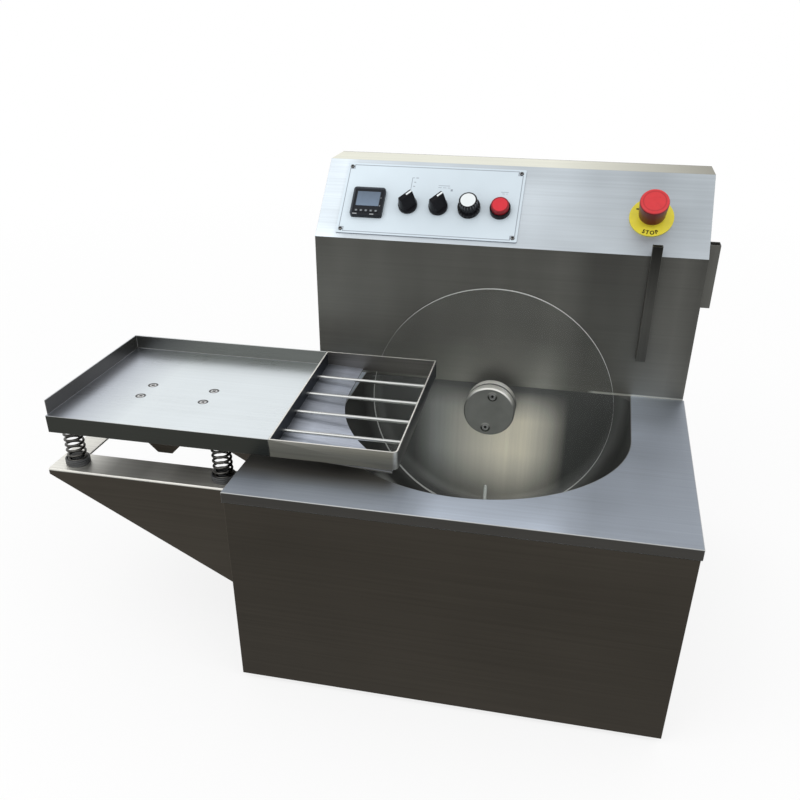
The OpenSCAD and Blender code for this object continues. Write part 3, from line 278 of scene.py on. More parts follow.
class Finish(Graph):
    """One procedural material on Object coordinates. Its lengths are in millimetres."""

    def __init__(self, name):
        self.material = bpy.data.materials.new(name)
        self.material.use_nodes = True
        super().__init__(self.material.node_tree)
        self.tree.nodes.clear()
        self.sheet, self.panel = bpy.context.scene.melter_sheet, bpy.context.scene.melter_panel
        self.place = self.node("ShaderNodeTexCoord", out="Object")
        # The way a face looks
        self.x = self.node("ShaderNodeSeparateXYZ", values=(self.place.pick("Normal"),))
        self.y, self.z = self.x.pick("Y"), self.x.pick("Z")

    def mix(self, factor, first, second):
        settings = {"data_type": "RGBA", "clamp_factor": True}
        return self.node("ShaderNodeMix", settings, named={0: factor, 6: first, 7: second}, out=2)

    def layered(self, tone, base, layers):
        """A tone under shares of a base tone, each laid on by its mask."""
        for mask, share in layers:
            tone = self.mix(mask, tone, times(share, base))
        return tone

    def scaled(self, vector, factor):
        return self.node("ShaderNodeVectorMath", {"operation": "SCALE"}, (vector,), {"Scale": factor})

    def vector(self, operation, *values, out=0):
        return self.node("ShaderNodeVectorMath", {"operation": operation}, values, out=out)

    def along(self, direction, start):
        """Distance from a point along a direction."""
        offset = self.vector("SUBTRACT", self.place, tuple(start))
        return self.vector("DOT_PRODUCT", offset, tuple(direction / MM), out="Value")

    def plane(self, middle, second=UPHILL):
        """Distances from a point, across and along a second direction."""
        return self.along(ACROSS, middle), self.along(second, middle)

    def away(self, middle, second=UPHILL):
        """Distance from a line through a point, square to a plane."""
        u, v = self.plane(middle, second)
        return (u * u + v * v).maths("SQRT")

    def noise(self, grain, detail=2.0, rough=0.5):
        """Noise about zero, with one size of grain or one for each axis."""
        sizes = grain if isinstance(grain, tuple) else (grain,) * 3
        place = self.vector("MULTIPLY", self.place, tuple(1 / (size * MM) for size in sizes))
        named = {"Vector": place, "Scale": 1.0, "Detail": detail, "Roughness": rough}
        return self.node("ShaderNodeTexNoise", named=named) - 0.5

    def band(self, value, none, full):
        """A mask that grows from 0 at one value to 1 at another."""
        return self.node("ShaderNodeMapRange", values=(value, none, full, 0.0, 1.0))

    def bump(self, height, depth):
        """A normal from a height."""
        return self.node("ShaderNodeBump", named={"Height": height, "Strength": 1.0, "Distance": depth * MM})

    def close(self, tone, rough, metal=0.0, normal=None, gloss=0.5, alpha=1.0):
        named = {"Base Color": tone, "Roughness": rough, "Metallic": metal, "Specular IOR Level": gloss,
                 "Alpha": alpha}
        if normal:
            named["Normal"] = normal
        shader = self.node("ShaderNodeBsdfPrincipled", named=named)
        self.node("ShaderNodeOutputMaterial", named={"Surface": shader})
        return self.material


FINISHES = {}


def finish(make):
    """A material that is made once and shared, with the function's name unless it gives another."""

    def shared(*values):
        key = (make.__name__, *values)
        if key not in FINISHES:
            FINISHES[key] = make(Finish(make.__name__), *values)
        return FINISHES[key]

    return shared


def times(factor, tone):
    return tuple(factor * c for c in tone)


def brushed(f, tone, grain=GRAIN, streak=0.3, cloud=0.3, polish=0.5):
    """Closes a sheet-metal finish: fine and broad streaks along the grain and soft clouds over the tone."""
    lines = f.noise(grain, 3.0, 0.6)
    broad = f.noise(times(5, grain))
    clouds = f.noise((140, 110, 110))
    shade = lines * streak + broad * streak + clouds * cloud + 1.0
    rough = lines * 0.16 + clouds * 0.12 + polish
    return f.close(f.scaled(tone, shade), rough, 1.0, f.bump(lines, 0.02))


def moulded(f, tone, stain_size, stain, rough, gloss):
    """Closes a plastic finish: soft stains over the tone and the polish."""
    smudge = f.noise(stain_size)
    return f.close(f.scaled(tone, smudge * stain + 1.0), smudge * 0.12 + rough, gloss=gloss)


def by_facing(f, up, upright, side, under=None):
    """A painted tone by the way a face looks: up, forward or back, sideways, or down. It stands in for the light
    and reflections each side gets.
    """
    level = f.mix(f.x * f.x, upright, side)
    lid = f.mix(f.z.maths("GREATER_THAN", 0.0), under or upright, up)
    return f.mix(f.z * f.z, level, lid)


def edged(f, tone, edge, share=0.8):
    """Paints rounded edges with a tone of their own: a painted highlight where it is lighter, painted shade where
    it is darker.
    """
    xx, yy, zz = f.x * f.x, f.y * f.y, f.z * f.z
    rounded = zz * (yy + xx) * 4.0 + xx * yy * 4.0
    return f.mix(rounded * share, tone, edge)


@finish
def cabinet_steel(f, side_grain):
    if side_grain:
        f.material.name = "cabinet_side_steel"
    dark = f.sheet.dark
    tone = f.mix(f.band(f.along(UP, CORNER), 215, 285), times(0.9, dark), dark)
    # Rounded edges get a painted highlight
    return brushed(f, edged(f, tone, times(4.0, dark)), SIDE_GRAIN if side_grain else GRAIN)


@finish
def deck_steel(f):
    deck, rim = f.sheet.deck, f.sheet.rim
    across, back = f.plane(CORNER, BACK)
    # Painted reflections on the deck: brighter towards the back and along the middle of the front edge, darker at
    # the left front, the right front and the far right
    top = f.layered(deck, deck, (
        (f.band(back, 200, 400), 1.45),
        (f.band(across, 258, 215) * f.band(back, 160, 60), 0.68),
        (f.band(across, 395, 440) * f.band(back, 170, 90), 0.77),
        (f.band(abs(across - 325), 90, 60) * f.band(back, 45, 10), 1.18),
        (f.band(across, 480, 550), 0.67),
    ))
    # Painted shadow of the grate on the deck under it
    under = f.band(across, 222, 185) * f.band(back, 36, 70) * f.band(back, 330, 250)
    # The turned-down edge is painted a darker tone by the way it faces
    tone = by_facing(f, f.mix(under * 0.85, top, f.sheet.shadow), rim, rim)
    # A painted highlight along the rounded front bend
    tone = edged(f, tone, f.sheet.bright, f.band(f.z, 0.05, 0.3) * 0.8 + 0.1)
    return brushed(f, tone, streak=0.24, cloud=0.24)


@finish
def column_steel(f):
    slope = f.sheet.slope
    across, side = f.along(ACROSS, CORNER), f.along(ACROSS, AXLE)
    height = f.along(UP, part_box("deck_plate")[1])
    # Painted reflections on the slope: lighter at the left end, darker towards the right
    sloped = f.layered(slope, slope, (
        (f.band(across, 240, 480), 0.74),
        (f.band(across, 45, 25), 1.3),
        (f.band(across, 490, 530), 0.85),
    ))
    sloped = f.scaled(sloped, f.noise((120, 90, 90), 1.0) * 0.7 + 1.0)
    # The top strip is painted darker towards the right, a painted reflection
    lid = f.mix(f.band(across, 330, 560), f.sheet.top, (0.30, 0.29, 0.24))
    # A weld seam by the deck, painted as a bright highlight line
    weld_highlight = f.band(height, 2.6, 1.2) * f.band(across, 420, 430)
    # Painted light on the face: brighter towards the deck, most in two bands left and right of the hub; painted
    # shade right of the hub and at the right edge
    glow = f.band(abs(side + 46), 38, 5) * 0.8 + f.band(abs(side - 71), 40, 5) * 1.3
    low = f.band(height, 220, 10) + f.band(height, 75, 5) * (glow + 0.55)
    shade = f.band(side, 80, 130) * f.band(side, 270, 190) + f.band(side, 250, 274)
    light = (f.noise((70, 400, 260)) * 0.7 + low + 1.0) * (1.0 - shade * 0.35) + weld_highlight * 4.0
    tone = f.mix(f.band(f.z, 0.35, 0.6), f.scaled(f.sheet.face, light), sloped)
    return brushed(f, f.mix(f.band(f.z, 0.8, 0.92), tone, lid), streak=0.2, cloud=0.1)


@finish
def sleeve_steel(f, node, share, fall):
    """A sleeve's sheet: a share of the column's tone, painted to fade by the share fall towards the sleeve's top,
    with painted lighter sides, a darker top face and painted highlights on its edges.
    """
    f.material.name = node + "_steel"
    face = times(share, f.sheet.face)
    low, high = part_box(node)
    tall = (high.z - low.z) / MM
    front = f.mix(f.band(f.along(UP, low), 0.45 * tall, tall), face, times(fall, face))
    tone = by_facing(f, times(0.25, face), front, times(1.7, face))
    return brushed(f, edged(f, tone, times(2.5, face)), UPRIGHT_GRAIN)


@finish
def tray_steel(f):
    plate, skirt, wall = f.sheet.tray, f.sheet.skirt, f.sheet.wall
    across, back = f.plane(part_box("tray")[0], BACK)
    # Painted reflections of the walls on the plate: bluish shade near the left and the back walls
    top = f.mix(f.band(across, 105, 5), plate, (0.42, 0.45, 0.52))
    top = f.mix(f.band(back, 245, 305) * 0.35, top, (0.34, 0.37, 0.43))
    # A painted dark ring of shade round each screw
    for screw in islands("tray_screws"):
        away = f.away(centre(screw), BACK)
        top = f.mix(f.band(away, 4.5, 4.8) * f.band(away, 7.6, 6.8), top, times(0.05, plate))
    # Painted tones on the upright faces, darker to the right and at the back
    front = f.mix(f.band(across, 120, 230), skirt, times(0.88, skirt))
    upright = f.mix(f.band(back, 100, 200), front, (0.145, 0.148, 0.138))
    tone = by_facing(f, top, upright, wall)
    # Painted shade in the inner seams and painted highlights on the outer edges at the top and the back
    outer = f.band(f.along(UP, MOULD_REST), 1.5, 2.5).largest(f.band(back, 6, 3))
    outer = outer * f.band(f.z, 0.05, 0.3)
    tone = edged(f, tone, times(0.5, wall), (1.0 - outer) * 0.85)
    return brushed(f, edged(f, tone, f.sheet.bright, outer * 0.75), streak=0.1, cloud=0.14, polish=0.3)


@finish
def bracket_steel(f, bright_edge):
    if bright_edge:
        f.material.name = "bracket_plate_steel"
    rail, dark = f.sheet.rail, times(1.1, f.sheet.dark)
    across = f.along(ACROSS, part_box("bracket_frame")[0])
    # Painted shade of the tray on the rail's top: dark in the middle, light at both ends. Edges get painted
    # highlights
    top = f.layered(rail, rail, ((f.band(across, 35, 88), 0.47), (f.band(across, 132, 168), 0.9)))
    tone = by_facing(f, top, rail if bright_edge else dark, dark)
    return brushed(f, edged(f, tone, rail if bright_edge else f.sheet.bright))


@finish
def grate_steel(f):
    drip, rail = f.sheet.drip, f.sheet.rail
    rods = sorted(map(centre, islands("grate_rods")), key=lambda point: point.y)
    uphill = (rods[-1] - rods[0]).normalized()
    back, height = f.along(uphill, rods[0]), f.along(ACROSS.cross(uphill), rods[0])
    left = f.along(ACROSS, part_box("grate_frame")[0])
    # Painted reflections and shade: the drip plate lightest at the front, darker behind, lighter again at the back
    # and dark along the left wall; the walls are painted darker towards the back. A lighter strip runs along the
    # front wall's lower edge
    plate = f.layered(times(0.86, drip), drip, (
        (f.band(back, 10, 60), 0.6),
        (f.band(back, 110, 170), 0.85),
        (f.band(left, 34, 4), 0.3),
    ))
    top = f.mix(f.band(height, 5, 10), plate, rail)
    wall = f.mix(f.band(back, 100, 190), (0.21, 0.205, 0.172), (0.145, 0.14, 0.132))
    front = f.mix(f.band(height, -10.6, -11.4), wall, times(0.24, rail))
    tone = by_facing(f, top, front, (0.050, 0.056, 0.066), times(3.0, f.sheet.dark))
    return brushed(f, edged(f, tone, f.sheet.bright), streak=0.5, cloud=0.4)


@finish
def tank_steel(f):
    """The tank's bowl, painted with light and shade: a back wall with a painted highlight streak, a trough painted
    dark, and a front and bottom painted bright.
    """
    bowl = f.sheet.tank
    front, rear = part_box("tank")
    side, depth = f.along(ACROSS, AXLE), f.along(UP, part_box("deck_plate")[1])
    # Painted shade and light on the back wall: dark just under the deck, lighter below, darker in the trough and
    # at both sides
    wall = f.layered(times(0.45, bowl), bowl, (
        (f.band(depth, -6, -44), 1.15),
        (f.band(depth, -120, -200), 0.5),
        (f.band(side, 60, 115), 0.3),
        (f.band(side, -90, -125), 0.4),
    ))
    # A painted highlight streak beside the hub
    streak = f.band(side, -88, 24) * f.band(side, 118, 52)
    streak = streak * f.band(depth, -10, -60) * f.band(depth, -235, -115)
    # The bottom near the front is painted bright, out of view, so that its light reflects onto the walls
    bottom = f.band(depth, -130, -170) * f.band(f.along(BACK, front), 320, 285)
    # Painted tones for the other faces: dark, a little lighter near the back wall right of the hub, and bright
    # where they look back or lie in the bright bottom
    tone = f.layered(times(0.25, bowl), bowl, (
        (f.band(f.along(BACK, rear), -60, -3) * f.band(side, 0, 20), 0.5),
        (f.band(f.y, 0.1, 0.4).largest(bottom), 2.5),
    ))
    tone = f.mix(f.band(f.y, -0.75, -0.95), tone, f.mix(streak, wall, f.sheet.glow))
    return brushed(f, tone, (0.8, 60, 60), 0.14, 0.25, 0.68)


@finish
def bright_steel(f):
    return brushed(f, f.sheet.bright, (8, 8, 0.5), 0.1, 0.1, 0.3)


@finish
def screw_steel(f, node, top, axis, shine):
    """A screw's steel with a random grain, painted dark below the plane of its top as shade."""
    f.material.name = node + "_steel"
    grime = f.noise(2, 3.0)
    # Painted shade below the top of the head
    deep = f.band(f.along(Vector(axis), top), -0.2, -0.6)
    tone = f.mix(deep, (shine,) * 3, (0.12 * shine,) * 3)
    return f.close(f.scaled(tone, grime * 0.6 + 1.0), grime * 0.2 + 0.4, 1.0)


@finish
def spring_steel(f):
    grime = f.noise((6, 6, 3), 3.0)
    # Painted light: the wire lighter where it looks up, dark below
    tone = f.mix(f.band(f.z, -0.35, 0.75), (0.016, 0.015, 0.014), (0.13, 0.127, 0.118))
    return f.close(f.scaled(tone, grime * 0.9 + 1.0), grime * 0.3 + 0.36, 1.0)


@finish
def turned_steel(f):
    """The hub's steel: turned rings, a painted highlight on its upper side and painted rings round the screws,
    shade below and light above, for their sunk places.
    """
    radius = f.vector("DISTANCE", f.place, tuple(AXLE), out="Value")
    named = {"W": radius * (RINGS / MM), "Detail": 2.0}
    rings = f.node("ShaderNodeTexNoise", {"noise_dimensions": "1D"}, named=named) - 0.5
    # Painted highlight on faces that look up
    upward = f.band(f.z, 0.25, 0.8)
    tone = f.mix(upward, (0.21, 0.215, 0.205), (0.95, 0.95, 0.90))
    # A painted ring round each screw: shade below it, light above
    for screw in islands("hub_screws"):
        middle = centre(screw)
        ring = f.mix(f.band(f.along(UP, middle), -1, 5), (0.03, 0.03, 0.028), (0.36, 0.36, 0.34))
        tone = f.mix(f.band(f.away(middle, UP), 8, 6.6) * (1.0 - upward), tone, ring)
    tone = f.scaled(tone, rings * 0.35 + f.noise(25) * 0.5 + 1.0)
    return f.close(tone, rings * 0.15 + 0.6, 1.0, f.bump(rings, 0.02))


@finish
def cast_metal(f):
    grain = f.noise(2, 4.0, 0.7)
    tone = f.scaled((0.22, 0.225, 0.23), grain * 0.5 + 1.0)
    return f.close(tone, grain * 0.2 + 0.55, 0.9, f.bump(grain, 0.15))


@finish
def plastic(f, name, tone, rough, grain_size, gloss=0.22):
    f.material.name = name
    grain = f.noise(grain_size, 3.0)
    smudge = f.noise(14)
    shaded = f.scaled(tone, grain * 0.12 + smudge * 0.16 + 1.0)
    rough = smudge * 0.12 + grain * 0.08 + rough
    return f.close(shaded, rough, normal=f.bump(grain, 0.02), gloss=gloss)


def panel_plastic(name):
    tone = tuple(getattr(bpy.context.scene.melter_panel, name))
    return plastic(name, tone, 0.22, 0.7, 0.08 if name == "black" else 0.22)


@finish
def button_print(f):
    """The start button, with painted shade round its shoulder."""
    red, half = f.panel.button, half_width("start_button")
    # Painted shade round the shoulder
    shoulder = f.band(f.away(hub_of("start_button")), half - 2.6, half - 1.9)
    return moulded(f, f.mix(shoulder, red, times(0.36, red)), 6, 0.2, 0.3, 0.22)


@finish
def stop_print(f):
    """The stop head: a crown painted light, sides painted dark, and painted shade along a groove in the crown."""
    red, half = f.panel.red, half_width("estop_head")
    # Painted light on the crown and painted shade on the sides
    tone = f.mix(f.band(f.y * OUT.y + f.z * OUT.z, 0.3, 0.8), times(0.2, red), times(1.2, red))
    # Painted shade along the groove
    groove = f.band(abs(f.away(hub_of("estop_head")) - 0.76 * half), 1.4, 0.3) * f.band(f.z, 0.3, 0.6)
    return moulded(f, f.mix(groove * 0.5, tone, times(0.55, red)), 6, 0.2, 0.3, 0.3)


@finish
def stop_plate_print(f):
    """The stop button's yellow plate, with a plain black mark beside the head."""
    mark = bar(*f.plane(hub_of("estop_plate")), *PLATE_MARK)
    return moulded(f, f.mix(mark, f.panel.yellow, f.panel.black), 14, 0.2, 0.25, 0.22)


@finish
def knob_print(f):
    """The speed knob's skirt, whose ribs catch the light near the top."""
    hub = hub_of("speed_turn")
    u, v = f.plane(hub)
    top = reach(islands("speed_knob")[0], hub, OUT) / MM
    ribs = (v.maths("ARCTAN2", u) * KNOB_RIBS).maths("SINE")
    shine = f.band(ribs, -0.1, 0.8) * f.band(f.along(OUT, hub), top - 7, top - 1)
    tone = f.mix(shine, f.panel.black, (0.075, 0.078, 0.082))
    return f.close(tone, shine * 0.1 + 0.24, normal=f.bump(ribs, 0.3), gloss=0.12)


@finish
def cap_print(f):
    """The speed knob's white cap inside a black rim."""
    half = half_width("speed_knob_cap")
    rim = f.band(f.away(hub_of("speed_knob_cap")), 0.89 * half, 0.93 * half)
    return moulded(f, f.mix(rim, f.panel.cap, f.panel.black), 14, 0.16, 0.25, 0.15)


@finish
def case_print(f):
    """The controller's case: a soft black with painted highlights on its upper and left edges and on its lower
    lip, and light marks by the screen.
    """
    u, v = f.plane(hub_of("controller_case"))
    half = half_width("controller_case")
    # Painted highlights on the upper and left edges
    edge = f.band(v, half - 4.5, half - 1.5).largest(f.band(u, 4.0 - half, 1.5 - half))
    tone = f.mix(edge, (0.017, 0.019, 0.023), (0.06, 0.068, 0.08))
    # The first two marks are painted highlights on the lower lip
    for low, high in CASE_MARKS:
        tone = f.mix(bar(u, v, low, high) * f.band(f.z, 0.5, 0.7), tone, (0.42, 0.44, 0.45))
    return moulded(f, tone, 14, 0.2, 0.3, 0.1)


def bar(u, v, low, high):
    """1 inside a printed bar between two corners, with a soft edge."""
    mid = [(a + b) / 2 for a, b in zip(low, high)]
    half = [(b - a) / 2 for a, b in zip(low, high)]
    outside = (abs(u - mid[0]) - half[0]).largest(abs(v - mid[1]) - half[1])
    return u.graph.band(outside, 0.2, -0.2)


@finish
def faceplate_print(f):
    """The faceplate: a line with cut-in corners round its rim, plain strokes by the controls, painted light
    towards its left and painted shade on its edges.
    """
    low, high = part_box("faceplate")
    middle = hub_of("faceplate")
    half_u, half_v = half_width("faceplate"), (high - low).dot(UPHILL) / 2 / MM
    u, v = f.plane(middle)
    rim_u, rim_v = abs(u) - (half_u - 4.0), abs(v) - (half_v - 4.0)
    rim = rim_u.largest(rim_v).largest(rim_u.least(rim_v) + 6.5)
    ink = f.band(abs(rim), 0.8, 0.4)
    for control, bars in MARKS.items():
        offset = hub_of(control) - middle
        at_u, at_v = offset.dot(ACROSS) / MM, offset.dot(UPHILL) / MM
        for u0, v0, u1, v1 in bars:
            ink = ink.largest(bar(u, v, (at_u + u0, at_v + v0), (at_u + u1, at_v + v1)))
    clouds = f.noise(70)
    # Painted light: the plate lighter towards the left
    coat = f.mix(f.band(u, -half_u, 0.3 * half_u), times(1.13, f.panel.plate), f.panel.plate)
    coat = f.scaled(coat, clouds * 0.14 + f.noise(0.8) * 0.04 + 1.0)
    tone = f.mix(ink * 0.75, coat, f.panel.ink)
    # Painted shade on faces that don't look out: the plate's edges
    tone = f.mix(f.band(f.y * OUT.y + f.z * OUT.z, 0.6, 0.3), tone, f.panel.ink)
    return f.close(tone, clouds * 0.1 + 0.35)


@finish
def screen_glass(f):
    glass, half = f.panel.screen, half_width("controller_screen")
    u, v = f.plane(hub_of("controller_screen"))
    tone = f.mix(f.band(v, 13, -13), times(0.8, glass), times(1.25, glass))
    tone = f.scaled(tone, f.noise(9) * 0.2 + 1.0)
    tone = f.mix(f.band(abs(u), half - 1.2, half - 0.6), tone, times(0.2, glass))
    return f.close(tone, f.noise(20) * 0.06 + 0.16)


@finish
def key_print(f, node):
    f.material.name = node + "_print"
    u, v = f.plane(hub_of(node))
    mark = f.band(u * u + v * v, 3, 1)
    tone = f.mix(mark, (0.030, 0.033, 0.038), (0.21, 0.235, 0.255))
    return f.close(f.scaled(tone, f.noise(1) * 0.2 + 1.0), mark * 0.1 + 0.4)


@finish
def clear_plastic(f):
    scuff = f.noise((40, 6, 40), 4.0)
    return f.close((0.12, 0.125, 0.125), scuff * 0.08 + 0.1, alpha=0.03, gloss=0.15)


@finish
def cut_edge(f):
    grain = f.noise(3, 3.0)
    return f.close(f.scaled((0.62, 0.64, 0.62), grain * 0.3 + 1.0), grain * 0.1 + 0.35, alpha=0.75)


@finish
def rubber(f):
    grain = f.noise(1.5, 3.0)
    tone = f.scaled((0.022, 0.022, 0.022), grain * 0.5 + 1.0)
    return f.close(tone, grain * 0.1 + 0.62, normal=f.bump(grain, 0.05))


@finish
def ribbed_rubber(f):
    """A spring seat's rubber, ribbed round its side, its ribs bumped and painted lighter and darker as light and
    shade.
    """
    ribs = (f.along(UP, CORNER) * SEAT_RIBS).maths("SINE")
    grain = f.noise(1.5, 3.0)
    tone = f.scaled((0.052, 0.054, 0.056), ribs * 0.45 + grain * 0.4 + 1.0)
    return f.close(tone, grain * 0.1 + 0.5, normal=f.bump(ribs, 0.2))


def linked(name, data):
    """A new object in the scene."""
    obj = bpy.data.objects.new(name, data)
    bpy.context.scene.collection.objects.link(obj)
    return obj


def dress(mesh, material):
    mesh.materials.clear()
    mesh.materials.append(material)


def paint(node, material):
    """Gives a CAD node that keeps its shape its finish."""
    dress(frame["nodes"][node].data, material)


def piece_from(name, mesh, material, node=None, body=None, slot=None):
    """Links a finished mesh and says what it rides on and stands for."""
    obj = linked(name, mesh)
    if material:
        dress(mesh, material)
    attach(obj, body or BODY_OF[node])
    if node:
        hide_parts(node)
    slot or SLOT_OF[node]
    return obj


def merged(node, joined=True):
    """A copy of a CAD node as a bmesh, with its triangles joined into flat faces if asked."""
    bm = bmesh.new()
    bm.from_mesh(frame["nodes"][node].data)
    bmesh.ops.remove_doubles(bm, verts=bm.verts, dist=MERGE * MM)
    if joined:
        bmesh.ops.dissolve_limit(bm, angle_limit=math.radians(FLAT_ANGLE), verts=bm.verts, edges=bm.edges)
    return bm


def skin(node, material, bevel=0.5, segments=2):
    """Stands for a CAD node: its own shape with softened edges, smooth only where it is curved."""
    bm = merged(node, False)
    edge_angle, curve_angle = math.radians(EDGE_ANGLE), math.radians(CURVE_ANGLE)
    slivers = {face for face in bm.faces
               if face.calc_area() < SLIVER * MM * max(edge.calc_length() for edge in face.edges)}
    for face in bm.faces:
        sound = [edge for edge in face.edges if not slivers.intersection(edge.link_faces)]
        face.smooth = any(curve_angle < edge.calc_face_angle(0.0) < edge_angle for edge in sound)
    if bevel:
        edges = [edge for edge in bm.edges
                 if len(edge.link_faces) == 2 and edge.calc_face_angle() > edge_angle]
        made = bmesh.ops.bevel(bm, geom=edges, offset=bevel * MM, segments=segments, profile=0.5,
                               affect="EDGES", clamp_overlap=True, loop_slide=False)
        for face in made["faces"]:
            face.smooth = True
    clean = bpy.data.meshes.new(node + "_skin")
    bm.verts.index_update()
    clean.from_pydata([v.co for v in bm.verts], [], [[v.index for v in face.verts] for face in bm.faces])
    clean.set_sharp_from_angle(angle=edge_angle)
    clean.polygons.foreach_set("use_smooth", [face.smooth for face in bm.faces])
    bm.free()
    return piece_from(node + "_skin", clean, material, node)


def islands(node):
    """The separate solids of a CAD node, each as a list of points."""
    bm = merged(node)
    left = set(bm.verts)
    groups = []
    for start in bm.verts:
        if start not in left:
            continue
        left.remove(start)
        front, group = [start], []
        while front:
            vert = front.pop()
            group.append(vert.co.copy())
            near = [edge.other_vert(vert) for edge in vert.link_edges if edge.other_vert(vert) in left]
            left.difference_update(near)
            front.extend(near)
        groups.append(group)
    bm.free()
    return groups


SOCKETS = {
    float: "NodeSocketFloat",
    int: "NodeSocketInt",
    tuple: "NodeSocketVector",
    bpy.types.Object: "NodeSocketObject",
}


def evaluated(obj):
    """A plain mesh of an object with its modifiers or its text."""
    depsgraph = bpy.context.evaluated_depsgraph_get()
    return bpy.data.meshes.new_from_object(obj.evaluated_get(depsgraph), depsgraph=depsgraph)


def grown(name, build, points, material, **sizes):
    """The plain mesh that a Geometry Nodes tree makes on some points."""
    tree = bpy.data.node_groups.new(name, "GeometryNodeTree")
    tree.interface.new_socket("Geometry", in_out="OUTPUT", socket_type="NodeSocketGeometry")
    tree.interface.new_socket("Points", in_out="INPUT", socket_type="NodeSocketGeometry")
    keys = {}
    for label, value in sizes.items():
        socket = tree.interface.new_socket(label, in_out="INPUT", socket_type=SOCKETS[type(value)])
        keys[label] = socket.identifier
    g = Graph(tree)
    entry = g.node("NodeGroupInput")
    whole = g.node("GeometryNodeRealizeInstances", values=(build(g, entry),))
    dressed = g.node("GeometryNodeSetMaterial", named={"Geometry": whole, "Material": material})
    g.node("NodeGroupOutput", values=(dressed,))
    seeds = bpy.data.meshes.new(name + "_points")
    seeds.from_pydata(points, [], [])
    host = linked(name + "_host", seeds)
    modifier = host.modifiers.new(name, "NODES")
    modifier.node_group = tree
    for label, value in sizes.items():
        modifier[keys[label]] = value
    mesh = evaluated(host)
    bpy.data.objects.remove(host)
    bpy.data.meshes.remove(seeds)
    mesh.polygons.foreach_set("use_smooth", [True] * len(mesh.polygons))
    return mesh


# Driver recesses and profiles of screw heads of unit radius
CROSS = ((0.6, -0.23), (0.6, 0.23), (0.23, 0.23), (0.23, 0.6), (-0.23, 0.6), (-0.23, 0.23),
         (-0.6, 0.23), (-0.6, -0.23), (-0.23, -0.23), (-0.23, -0.6), (0.23, -0.6), (0.23, -0.23))
HEXAGON = tuple((0.5 * math.cos(k * math.pi / 3), 0.5 * math.sin(k * math.pi / 3)) for k in range(6))
SUNK_HEAD = ((0.74, 0.0), (0.93, -0.02), (1.0, -0.09), (0.55, -0.54))
PAN_HEAD = ((0.6, 0.0), (0.84, -0.07), (0.96, -0.2), (1.0, -0.36), (1.0, -0.5))
CAP_HEAD = ((0.86, 0.0), (0.97, -0.05), (1.0, -0.14), (1.0, -0.8))
HEAD_SIDES = 40
# How much a recess narrows towards its floor
TAPER = 0.8


def mesh_of(name, bm):
    """A mesh from a bmesh, with its faces turned outwards."""
    bmesh.ops.recalc_face_normals(bm, faces=bm.faces)
    mesh = bpy.data.meshes.new(name)
    bm.to_mesh(mesh)
    bm.free()
    return mesh


def screw_head(name, profile, recess, depth):
    """A screw head of unit radius whose top is at zero: a turned rim round a driver's recess."""
    bm = bmesh.new()
    angles = [k * math.tau / HEAD_SIDES for k in range(HEAD_SIDES)]
    rings = [[bm.verts.new((r * math.cos(a), r * math.sin(a), z)) for a in angles] for r, z in profile]
    mouth = [bm.verts.new((x, y, 0)) for x, y in recess]
    floor = [bm.verts.new((TAPER * x, TAPER * y, -depth)) for x, y in recess]
    for upper, lower in (*zip(rings, rings[1:]), (mouth, floor)):
        for k in range(len(upper)):
            n = (k + 1) % len(upper)
            bm.faces.new((upper[k], lower[k], lower[n], upper[n]))
    bm.faces.new(floor)
    bm.faces.new(rings[-1])
    loops = [bm.edges.get((loop[k - 1], loop[k])) for loop in (rings[0], mouth) for k in range(len(loop))]
    bmesh.ops.triangle_fill(bm, edges=loops, use_beauty=True)
    return linked(name, mesh_of(name, bm))


def scattered_heads(g, entry):
    """Screw heads on points, turned to an axis and each driven home at its own angle."""
    head = g.node("GeometryNodeObjectInfo", named={"Object": entry.pick("head")}, out="Geometry")
    upright = g.node("FunctionNodeAlignRotationToVector", {"axis": "Z"}, named={"Vector": entry.pick("axis")})
    placed = g.node("GeometryNodeInstanceOnPoints", named={
        "Points": entry, "Instance": head, "Rotation": upright, "Scale": entry.pick("radius")})
    angle = g.node("FunctionNodeRandomValue", named={2: 0.0, 3: math.tau, "Seed": entry.pick("seed")}, out=1)
    spin = g.node("ShaderNodeCombineXYZ", named={"Z": angle})
    return g.node("GeometryNodeRotateInstances", named={"Instances": placed, "Rotation": spin})


def screws(node, profile, recess, depth, axis, shine, seed):
    """Screw heads in place of a CAD node's screws."""
    tops, wide = [], 0.0
    for points in islands(node):
        middle = centre(points)
        tops.append(middle + axis * reach(points, middle, axis))
        wide = max(wide, max(((p - middle) - axis * (p - middle).dot(axis)).length for p in points))
    head = screw_head(node + "_head", profile, recess, depth)
    material = screw_steel(node, tuple(tops[0]), tuple(axis), shine)
    mesh = grown(node + "_heads", scattered_heads, tops, material,
                 head=head, radius=wide, axis=tuple(axis), seed=seed)
    bpy.data.meshes.remove(head.data)
    mesh.set_sharp_from_angle(angle=math.radians(HEAD_ANGLE))
    return piece_from(node + "_heads", mesh, None, node)


# Points in a spring's turn, sides of its wire, and the pitch of its closed turns in wires
TURN_POINTS, WIRE_SIDES, CLOSED_PITCH = 26, 12, 1.06


